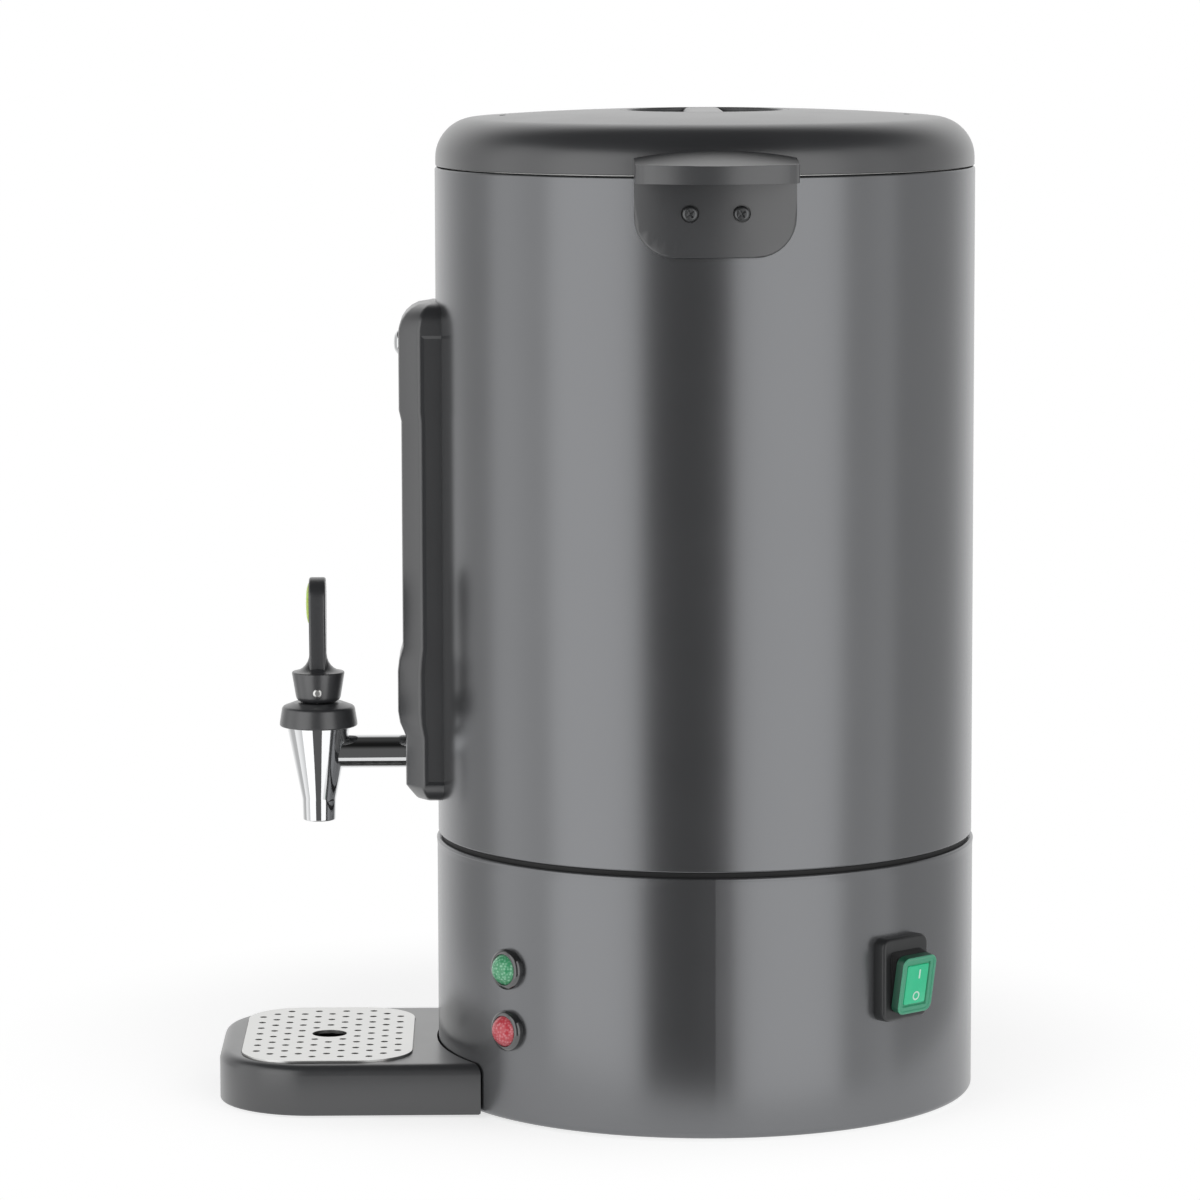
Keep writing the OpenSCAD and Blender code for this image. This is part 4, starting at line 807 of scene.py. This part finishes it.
heads = []
for turn in (0, 180):
    for side in (-1, 1):
        head = turned(
            [(0, 0), (HEAD_R, 0), (HEAD_R, HEAD_T), (0, HEAD_T)], {2: 1.3}, closed=False, steps=48)
        arms = [soften(raised(box_outline(w, h), HEAD_T - CROSS_DEPTH, HEAD_T + 1), 0.15, 2)
                for w, h in CROSS]
        seat = (Matrix.Rotation(math.radians(turn), 4, "Z")
                @ Matrix.Translation((0, side * SCREW_PITCH / 2 * MM, 0))
                @ on_wall(0, SCREW_Z, SEAT_R) @ Matrix.Rotation(CROSS_TURN, 4, "Z"))
        heads.append(placed(cut_away(head, *arms), seat))
piece("handle_screw_heads", joined(*heads), "urn", ["handle_screws"], black_oxide)

# %% [markdown]
# ## Sight-glass cover
#
# The cover is a long moulding over the glass tube. Its plan has flat sides, chamfers and a flat front, and
# its side view swells a little over the two bosses and rounds off at both ends. One extruded outline can
# give the plan or the side view, but not both. So the plan is raised to a block, cut into bands and then
# drawn in, band by band. A slot in its front shows the glass, and each side has a long sunk panel. The
# tube of glass behind the slot and the cap screw above it are turned.

# %% Sizes of the cover
TAP_Z = 152.3
COVER_LOW = 132.4
COVER_TOP = 353.2
COVER_HALF = 26.0
COVER_SIDE = 8.0
COVER_DEEPEST = 17.5
COVER_HEAD = 16.3
COVER_OUT = 15.2
COVER_BOW = 13.3
COVER_CORNER = 10.0
CHAMFER_SLOPE = 1.1
PANEL_RIM = 1.4
PANEL_DEPTH = 0.9
HOLLOW_W = 18.0
HOLLOW_D = 11.5
HOLLOW_LOW = 165.0
HOLLOW_TOP = 330.0
WINDOW_W = 7.2
WINDOW_H = 93.9
WINDOW_Z = 251.25
side_view = [
    (COVER_LOW, 8.2), (COVER_LOW + 1.2, 9.6), (COVER_LOW + 7, 14.1), (TAP_Z + 9, 14.1), (TAP_Z + 15, 16.7),
    (TAP_Z + 20, COVER_DEEPEST), (TAP_Z + 38, COVER_DEEPEST), (TAP_Z + 43, 16.9), (TAP_Z + 49, COVER_OUT),
    (COVER_TOP - 52, COVER_OUT), (COVER_TOP - 47, COVER_HEAD), (COVER_TOP - COVER_BOW, COVER_HEAD)]
print("the cover is", round(COVER_TOP - COVER_LOW, 1), "mm high")


# %% Shaping the cover
def cover_out(z):
    """How far the cover stands out from the drum at a height, rounded at the top."""
    over = z - (COVER_TOP - COVER_BOW)
    if over > 0:
        return COVER_HEAD - COVER_BOW + math.sqrt(max(COVER_BOW ** 2 - over ** 2, 0))
    for (z0, d0), (z1, d1) in zip(side_view, side_view[1:]):
        if z <= z1:
            return d0 + (d1 - d0) * (z - z0) / (z1 - z0)
    return side_view[-1][1]


def cover_width(z):
    """Share of the cover's width at a height, round at its four corners."""
    inside = max(min(z - COVER_LOW, COVER_TOP - z, COVER_CORNER), 0)
    drawn_in = COVER_CORNER - math.sqrt(COVER_CORNER ** 2 - (COVER_CORNER - inside) ** 2)
    return 1 - drawn_in / COVER_HALF


def on_panel(face):
    """Whether a face is part of the long panel in one of the cover's sides."""
    middle = face.calc_center_median().z / MM
    return abs(face.normal.x) > 0.999 and COVER_LOW + 9 < middle < COVER_TOP - 13.5


def at_end(vert):
    """Whether a point lies on the cover's lower or upper end."""
    z = vert.co.z / MM
    return abs(z - COVER_LOW) < 0.1 or abs(z - COVER_TOP) < 0.1


# %% Sight-glass cover
front_half = COVER_HALF - (COVER_DEEPEST - COVER_SIDE) * CHAMFER_SLOPE
plan = [(-COVER_HALF, -8), (COVER_HALF, -8), (COVER_HALF, COVER_SIDE), (front_half, COVER_DEEPEST),
        (-front_half, COVER_DEEPEST), (-COVER_HALF, COVER_SIDE)]
cover = raised(plan, COVER_LOW, COVER_TOP, {2: 3.0, 3: 4.0, 4: 4.0, 5: 3.0}, 6)
ends = [COVER_CORNER * (1 - math.cos(math.radians(a))) for a in (20, 35, 50, 65, 80)]
levels = [COVER_LOW + e for e in ends] + [COVER_TOP - 1.33 * e for e in ends]
levels += [row[0] for row in side_view[1:]] + [TAP_Z + 17, TAP_Z + 41, TAP_Z + 46, COVER_TOP - 13.6]
cover = bands(cover, 2, sorted(levels))
for vert in cover.verts:
    z = vert.co.z / MM
    vert.co.x *= cover_width(z)
    if vert.co.y > 0:
        vert.co.y *= cover_out(z) / COVER_DEEPEST
panels = [face for face in cover.faces if on_panel(face)]
bmesh.ops.inset_region(cover, faces=panels, thickness=PANEL_RIM * MM, depth=-PANEL_DEPTH * MM,
                       use_even_offset=True)
placed(cover, Matrix.Translation((0, -DRUM_R * MM, 0)) @ Matrix.Rotation(math.radians(180), 4, "Z"))
soften(cover, 0.8, 3, lambda e: all(at_end(v) for v in e.verts))
hollow = raised(box_outline(HOLLOW_W, HOLLOW_D, (0, -DRUM_R - 6)), HOLLOW_LOW, HOLLOW_TOP)
window = placed(
    round_block(WINDOW_W, WINDOW_H, 3.55, 0, 12),
    Matrix.Translation((0, -(DRUM_R + 10) * MM, WINDOW_Z * MM)) @ Matrix.Rotation(math.radians(90), 4, "X"))
cover = cut_away(cover, hollow, window)
piece("sight_glass_cover", cover, "urn", ["gauge_cover"], moulded_abs, sharp=28)

# %% Sight tube
TUBE_R = 3.4
TUBE_WALL = 1.0
TUBE_LOW = 165.3
TUBE_TOP = 319.3
TUBE_AT = 125.75

bore = TUBE_R - TUBE_WALL
tube = turned(
    [(bore, TUBE_LOW), (TUBE_R, TUBE_LOW), (TUBE_R, TUBE_TOP), (bore, TUBE_TOP)],
    {i: 0.3 for i in range(4)}, steps=72, arc_steps=3)
at_tube = Matrix.Translation((0, -TUBE_AT * MM, 0))
piece("sight_tube", tube, "urn", ["gauge_glass"], glass, at_tube, sharp=60)

# %% Cap screw
CAP_SCREW_Z = COVER_TOP - 18.2
CAP_SCREW_AT = DRUM_R + COVER_OUT + 1.1

cap_screw = turned(
    [(0, -2), (5.3, -2), (5.3, 0.5), (3.4, 1.9), (0, 2.3)], {2: 0.8, 3: 2.5}, closed=False, steps=64)
piece("cap_screw_dome", cap_screw, "urn", ["cover_cap_screw"], chrome,
      on_wall(-90, CAP_SCREW_Z, CAP_SCREW_AT))

# %% [markdown]
# ## Tap
#
# The tap is a chromed casting: a cone with a straight spout, on a shank that goes through the cover and the
# drum. A black collar closes it. Chrome shows every facet, so each of these is a finely spun profile.

# %% Tap casting
TAP_Y = -172.2
TIP_Z = 121.6
CONE_Z = 131.0
BONNET_Z = 164.0
CAM_Z = 174.6
SPOUT_BORE = 4.8
CONE_R = 14.0
SHANK_BORE = 4.2
THREAD_R = 6.2
SHANK_R = 7.3
at_tap = Matrix.Translation((0, TAP_Y * MM, 0))

cone = turned(
    [(SPOUT_BORE, TIP_Z), (7.25, TIP_Z), (7.5, CONE_Z), (CONE_R, BONNET_Z - 0.4), (CONE_R, BONNET_Z),
     (SPOUT_BORE, BONNET_Z)],
    {0: 0.3, 1: 0.6, 2: 9.0, 3: 0.3}, steps=96)
shank = turned(
    [(SHANK_BORE, 97.5), (THREAD_R, 97.5), (THREAD_R, 131.2), (SHANK_R, 131.2), (SHANK_R, 163.4),
     (SHANK_BORE, 163.4)],
    {1: 0.6}, steps=72)
casting = joined(placed(cone, at_tap), placed(shank, on_wall(-90, TAP_Z)))
piece("tap_casting", casting, "urn", ["tap_body"], chrome, sharp=30)

# %% Collar
STEM_HOLE_R = 2.7
collar = turned(
    [(12.7, BONNET_Z), (17.4, BONNET_Z), (17.2, BONNET_Z + 2), (16.1, BONNET_Z + 8.7), (11.0, CAM_Z),
     (STEM_HOLE_R, CAM_Z), (STEM_HOLE_R, CAM_Z - 5), (12.7, CAM_Z - 5)],
    {1: 0.8, 2: 3.0, 3: 1.8, 4: 0.8}, steps=96)
piece("tap_collar", collar, "urn", ["tap_bonnet"], tap_abs, at_tap)

# %% [markdown]
# ## Valve spring
#
# A spring round the stem shuts the valve. A curve with a round bevel would give the coil too, but it has to
# end in flat turns. So a small circle is spun and raised at once, with a lower pitch for the first and the
# last turn. The stem presses the spring when it rises. Here the spring stays on the urn's body, with a mesh
# of its own.

# %% Valve spring
COIL_R = 5.2
WIRE_R = 0.6
SPRING_LOW = 150.4
SPRING_CEILING = 169.4
SPRING_GAP = 0.1
END_PITCH = 1.5
OPEN_COILS = 4
COIL_STEPS = 32

spring_h = SPRING_CEILING - SPRING_LOW
open_pitch = (spring_h - SPRING_GAP - 2 * WIRE_R - 2 * END_PITCH) / OPEN_COILS
spring = bmesh.new()
bmesh.ops.create_circle(spring, cap_ends=False, segments=10, radius=WIRE_R * MM)
placed(spring, Matrix.Translation((COIL_R * MM, 0, (SPRING_LOW + WIRE_R) * MM))
       @ Matrix.Rotation(math.radians(90), 4, "X"))
last = spring.verts[:] + spring.edges[:]
for turns, coil_pitch in ((1, END_PITCH), (OPEN_COILS, open_pitch), (1, END_PITCH)):
    spun = bmesh.ops.spin(spring, geom=last, cent=(0, 0, 0), axis=(0, 0, 1),
                          dvec=(0, 0, coil_pitch / COIL_STEPS * MM), angle=math.tau * turns,
                          steps=COIL_STEPS * turns)
    last = spun["geom_last"]
bmesh.ops.holes_fill(spring, edges=[e for e in spring.edges if e.is_boundary], sides=0)
bmesh.ops.recalc_face_normals(spring, faces=spring.faces)
spring = piece("valve_coil", spring, "urn", ["valve_spring"], stainless, at_tap, sharp=50)
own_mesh(spring)

# %% [markdown]
# ## Lever
#
# The lever has a round boot that rolls on the collar, a thin blade and a round head with a coloured insert.
# Boot and blade are of different kinds, one turned and one flat, so each is made its own way and both are
# joined. A pocket in the boot leaves room for the valve stem, which the lever pulls up as it tilts.

# %% Boot
BOOT_Z = 174.8
BOOT_H = 13.5
BOOT_LOW_R = 9.6
BOOT_TOP_R = 11.8
LEVER_T = 7.4
PIN_Z = BOOT_Z + 4.9
POCKET_HALF = 3.0
POCKET_SWING = 6.0
POCKET_R = 4.9

cove_r = BOOT_TOP_R - LEVER_T / 2 - 0.2
cove_z = BOOT_Z + BOOT_H + cove_r
cove = [(BOOT_TOP_R + cove_r * math.cos(math.radians(a)), cove_z + cove_r * math.sin(math.radians(a)))
        for a in range(258, 179, -13)]
boot = turned(
    [(0, BOOT_Z), (BOOT_LOW_R, BOOT_Z), (BOOT_TOP_R, BOOT_Z + BOOT_H)] + cove + [(0, cove_z)],
    {1: 3.0, 2: 0.7}, closed=False, steps=96)
pocket = raised(box_outline(2 * POCKET_HALF, 2 * POCKET_SWING), BOOT_Z - 1, PIN_Z)
top_half = POCKET_HALF - 0.01
pocket_top = turned(
    [(0, -top_half), (POCKET_R, -top_half), (POCKET_R, top_half), (0, top_half)], closed=False, steps=48)
placed(pocket_top, Matrix.Translation((0, 0, PIN_Z * MM)) @ Matrix.Rotation(math.radians(90), 4, "Y"))
boot = cut_away(boot, pocket, pocket_top)
print("faces of the boot:", len(boot.faces))

# %% Blade, insert and rivets
HEAD_HALF = 11.0
HEAD_Z = BOOT_Z + 55.7 - HEAD_HALF
NECK_Z = BOOT_Z + 18
INSERT_R = 9.0
INSERT_Z = HEAD_Z - 0.6
RIVET_R = 2.1

blade = raised(
    [(-6.5, BOOT_Z + 10), (6.5, BOOT_Z + 10), (6.7, NECK_Z), (HEAD_HALF, HEAD_Z - 1),
     (HEAD_HALF, HEAD_Z + HEAD_HALF), (-HEAD_HALF, HEAD_Z + HEAD_HALF), (-HEAD_HALF, HEAD_Z - 1),
     (-6.7, NECK_Z)],
    -LEVER_T / 2, LEVER_T / 2, {4: HEAD_HALF, 5: HEAD_HALF, 3: 10.0, 6: 10.0}, 10)
soften(blade, 1.0, 4, angle=50)
placed(blade, Matrix.Rotation(math.radians(90), 4, "X"))
piece("lever_moulding", joined(boot, blade), "lever", ["tap_lever"], tap_abs, at_tap, sharp=35)

insert = turned(
    [(0, -1), (INSERT_R, -1), (INSERT_R, 0.4), (6.0, 1.2), (0, 1.5)], {2: 0.5, 3: 8.0}, closed=False,
    steps=64)
insert_place = Matrix.Translation((0, -LEVER_T / 2 * MM, INSERT_Z * MM)) @ Matrix.Rotation(
    math.radians(90), 4, "X")
piece("lever_insert_disc", insert, "lever", ["lever_insert"], lime, at_tap @ insert_place)

rivets = []
for side in (-1, 1):
    rivet = turned(
        [(0, 9.2), (RIVET_R, 9.2), (RIVET_R, 10.5), (1.3, 10.95), (0, 11.0)], {2: 0.4, 3: 1.0},
        closed=False, steps=40)
    outwards = Matrix.Rotation(math.radians(side * 90), 4, "Y")
    rivets.append(placed(rivet, at_tap @ Matrix.Translation((0, 0, PIN_Z * MM)) @ outwards))
piece("lever_rivets", joined(*rivets), "lever", ["lever_pin"], stainless)

# %% [markdown]
# ## Lamps
#
# Each lamp is a black ring with a domed lens. The lens is a coloured moulding with small pillows on its
# inside, which break its light into specks. Modelled pillows would be too small to see, so the finish has
# cells of that size, each with a painted glint, and the shape is a plain dome: an arc of points, spun
# round.

# %% Lamps
LAMP_TURN = -47.5
LAMP_R = 9.0
LAMP_FACE = BASE_R + 3.4
LAMP_BACK = LAMP_FACE - 5.4
LENS_R = 6.7
LENS_HOLE_R = LENS_R + 0.1
LENS_LIFT = 4.6
LENS_STEPS = 10

ball = (LENS_R ** 2 + LENS_LIFT ** 2) / (2 * LENS_LIFT)
lens_low = LAMP_FACE - 0.5
lens_top = lens_low + LENS_LIFT
first = math.asin((ball - LENS_LIFT) / ball)
angles = [first * (1 - i / LENS_STEPS) + math.pi / 2 * i / LENS_STEPS for i in range(LENS_STEPS)]
rise = [(ball * math.cos(a), lens_top - ball + ball * math.sin(a)) for a in angles]

for colour, z, finish in (("red", 41.7, red_lens), ("green", 68.8, green_lens)):
    place = on_wall(LAMP_TURN, z)
    ring = turned(
        [(LENS_HOLE_R, LAMP_BACK), (LAMP_R, LAMP_BACK), (LAMP_R, LAMP_FACE), (LENS_HOLE_R, LAMP_FACE)],
        {2: 2.1, 3: 0.4}, steps=72, arc_steps=8)
    piece(f"{colour}_lamp_ring", ring, "urn", [f"{colour}_lamp_bezel"], lamp_trim, place)
    lens = turned(
        [(0, LAMP_FACE - 3), (LENS_R, LAMP_FACE - 3)] + rise + [(0, lens_top)], closed=False, steps=64)
    piece(f"{colour}_lamp_dome", lens, "urn", [f"{colour}_lamp_lens"], finish, place)

# %% [markdown]
# ## Switch
#
# The rocker switch is the splash-proof kind: a black frame, a soft bellows and a green cap over the rocker.
# The bellows joins the fixed frame to the moving cap. On one body it would tear away from the other, so it
# is put on no body, and its place is baked into its mesh. The cap has a raised border round a lit window,
# which carries the plain marks for on and off. Insets make the border, because they follow the round
# corners.

# %% Switch frame
SWITCH_TURN = 41.9
SWITCH_Z = 66.1
SWITCH_W = 27.5
SWITCH_H = 36.2
SWITCH_OUT = 5.5
TILT = math.radians(9.4)
in_switch = on_wall(SWITCH_TURN, SWITCH_Z, BASE_R)
in_rocker = in_switch @ Matrix.Rotation(TILT, 4, "X")

body = round_block(SWITCH_W, SWITCH_H, 4.0, -3, SWITCH_OUT)
soften(body, 1.5, 4, lambda e: above(e, 0), 50)
piece("switch_bezel", body, "urn", ["switch_frame"], gloss_black, in_switch)

# %% Bellows
CAP_W = 20.5
CAP_H = 25.5
CAP_T = 4.2
CAP_CORNER = 3.6
CAP_BACK = 8.18
CAP_TOP = CAP_BACK + CAP_T
RINGS = 9
RIB_OUT = 0.055
RIB_IN = -0.015

bellows = round_block(CAP_W - 1.6, CAP_H - 1.6, 2.4, 0, 1)
bellows = bands(bellows, 2, [i / (RINGS - 1) for i in range(1, RINGS - 1)])
for vert in bellows.verts:
    share = vert.co.z / MM
    rib = 1 + (RIB_OUT if round(share * (RINGS - 1)) % 2 else RIB_IN)
    flat = Vector((vert.co.x * rib, vert.co.y * rib, 0))
    start = flat + Vector((0, 0, (SWITCH_OUT - 0.2) * MM))
    end = Matrix.Rotation(TILT, 3, "X") @ (flat + Vector((0, 0, (CAP_BACK + 0.3) * MM)))
    vert.co = start.lerp(end, share)
bellows = piece("switch_bellows", bellows, None, ["switch_seal"], rubber, in_switch, sharp=60)
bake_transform(bellows)

# %% Rocker cap
RIM_STEPS = ((1.0, 0), (0.4, -0.5), (1.6, 0), (0.4, -0.9))

cap = round_block(CAP_W, CAP_H, CAP_CORNER, CAP_BACK, CAP_TOP)
top = [face for face in cap.faces if face.normal.z > 0.9]
for inwards, sunk in RIM_STEPS:
    bmesh.ops.inset_region(cap, faces=top, thickness=inwards * MM, depth=sunk * MM)
soften(cap, 0.4, 3, lambda e: above(e, CAP_TOP - 0.1), 25)
bmesh.ops.recalc_face_normals(cap, faces=cap.faces)
# The cap's side faces take the second material, a darker green that paints shade on them.
for face in cap.faces:
    shaded_side = face.normal.z < 0.3 and face.calc_center_median().z < (CAP_TOP - 0.5) * MM
    face.material_index = int(shaded_side)
cap = piece("rocker_cap", cap, "rocker", ["switch_rocker"], rocker_green, in_rocker, sharp=40)
cap.data.materials.append(rocker_painted_shade)

# %% Window and marks
PANE_TOP = CAP_TOP - 0.7
MARK_LOW = PANE_TOP - 0.05
MARK_TOP = MARK_LOW + 0.12

pane = round_block(CAP_W - 7.4, CAP_H - 7.9, 1.0, PANE_TOP - 1.2, PANE_TOP)
soften(pane, 0.4, 3, lambda e: above(e, PANE_TOP - 0.1), 50)
piece("rocker_window", pane, "rocker", ["switch_window"], rocker_window, in_rocker)

on_mark = round_block(0.9, 4.2, 0.4, MARK_LOW, MARK_TOP, (1.2, 4.6))
off_mark = turned([(1.35, MARK_LOW), (2.05, MARK_LOW), (2.05, MARK_TOP), (1.35, MARK_TOP)], steps=40)
placed(off_mark, Matrix.Translation((0.6 * MM, -5.2 * MM, 0)))
marks = piece("rocker_marks", joined(on_mark, off_mark), "rocker", [], mark_paint, in_rocker)

# %% [markdown]
# ## Drip tray
#
# The tray is a low moulding with a wide soft upper edge and two large front corners. Its back follows the
# base. The grid lies in a shallow step round its well, and a tongue at the back goes into a slot in the
# base. A solid block with a soft edge, from which step and well are cut, keeps the walls' thickness right.

# %% Drip tray
TRAY_Z = 0.9
TRAY_TOP = 23.2
TRAY_HALF = 66.0
TRAY_FRONT = -216.5
TRAY_CORNER = 42.0
TRAY_EDGE = 4.5
GRID_Y = -168.5
BACK_R = BASE_R + 0.8
STEP_W = 118.8
STEP_D = 76.2
STEP_CORNER = 24.4
STEP_Z = TRAY_TOP - 0.5
WELL_W = 110.0
WELL_D = 67.4
WELL_CORNER = 20.0
WELL_Z = TRAY_Z + 2.8
TONGUE_W = 40.0
TONGUE_L = 19.0
TONGUE_Y = -116.8


def at_back(vert):
    """Whether a point lies on the tray's curved back."""
    return vert.co.xy.length < (BACK_R + 0.2) * MM


across = [TRAY_HALF * i / 10 for i in range(-10, 11)]
back = [(x, -math.sqrt(BACK_R ** 2 - x ** 2)) for x in across]
outline = [(-TRAY_HALF, TRAY_FRONT), (TRAY_HALF, TRAY_FRONT)] + back[::-1]
tray = raised(outline, TRAY_Z, TRAY_TOP, {0: TRAY_CORNER, 1: TRAY_CORNER}, 16)
soften(tray, TRAY_EDGE, 7, lambda e: above(e, 20) and not all(at_back(v) for v in e.verts), 50)
soften(tray, 1.0, 3, lambda e: below(e, 1.5), 50)
step = round_block(STEP_W, STEP_D, STEP_CORNER, STEP_Z, TRAY_TOP + 20, (0, GRID_Y))
well = round_block(WELL_W, WELL_D, WELL_CORNER, WELL_Z, TRAY_TOP + 20, (0, GRID_Y))
soften(well, 3.0, 4, lambda e: below(e, 6), 50)
tongue = soften(raised(box_outline(TONGUE_W, TONGUE_L, (0, TONGUE_Y)), 8, 11), 0.5, 2)
tray = joined(cut_away(tray, step, well), tongue)
piece("tray_moulding", tray, "tray", ["drip_tray"], moulded_abs, sharp=35)
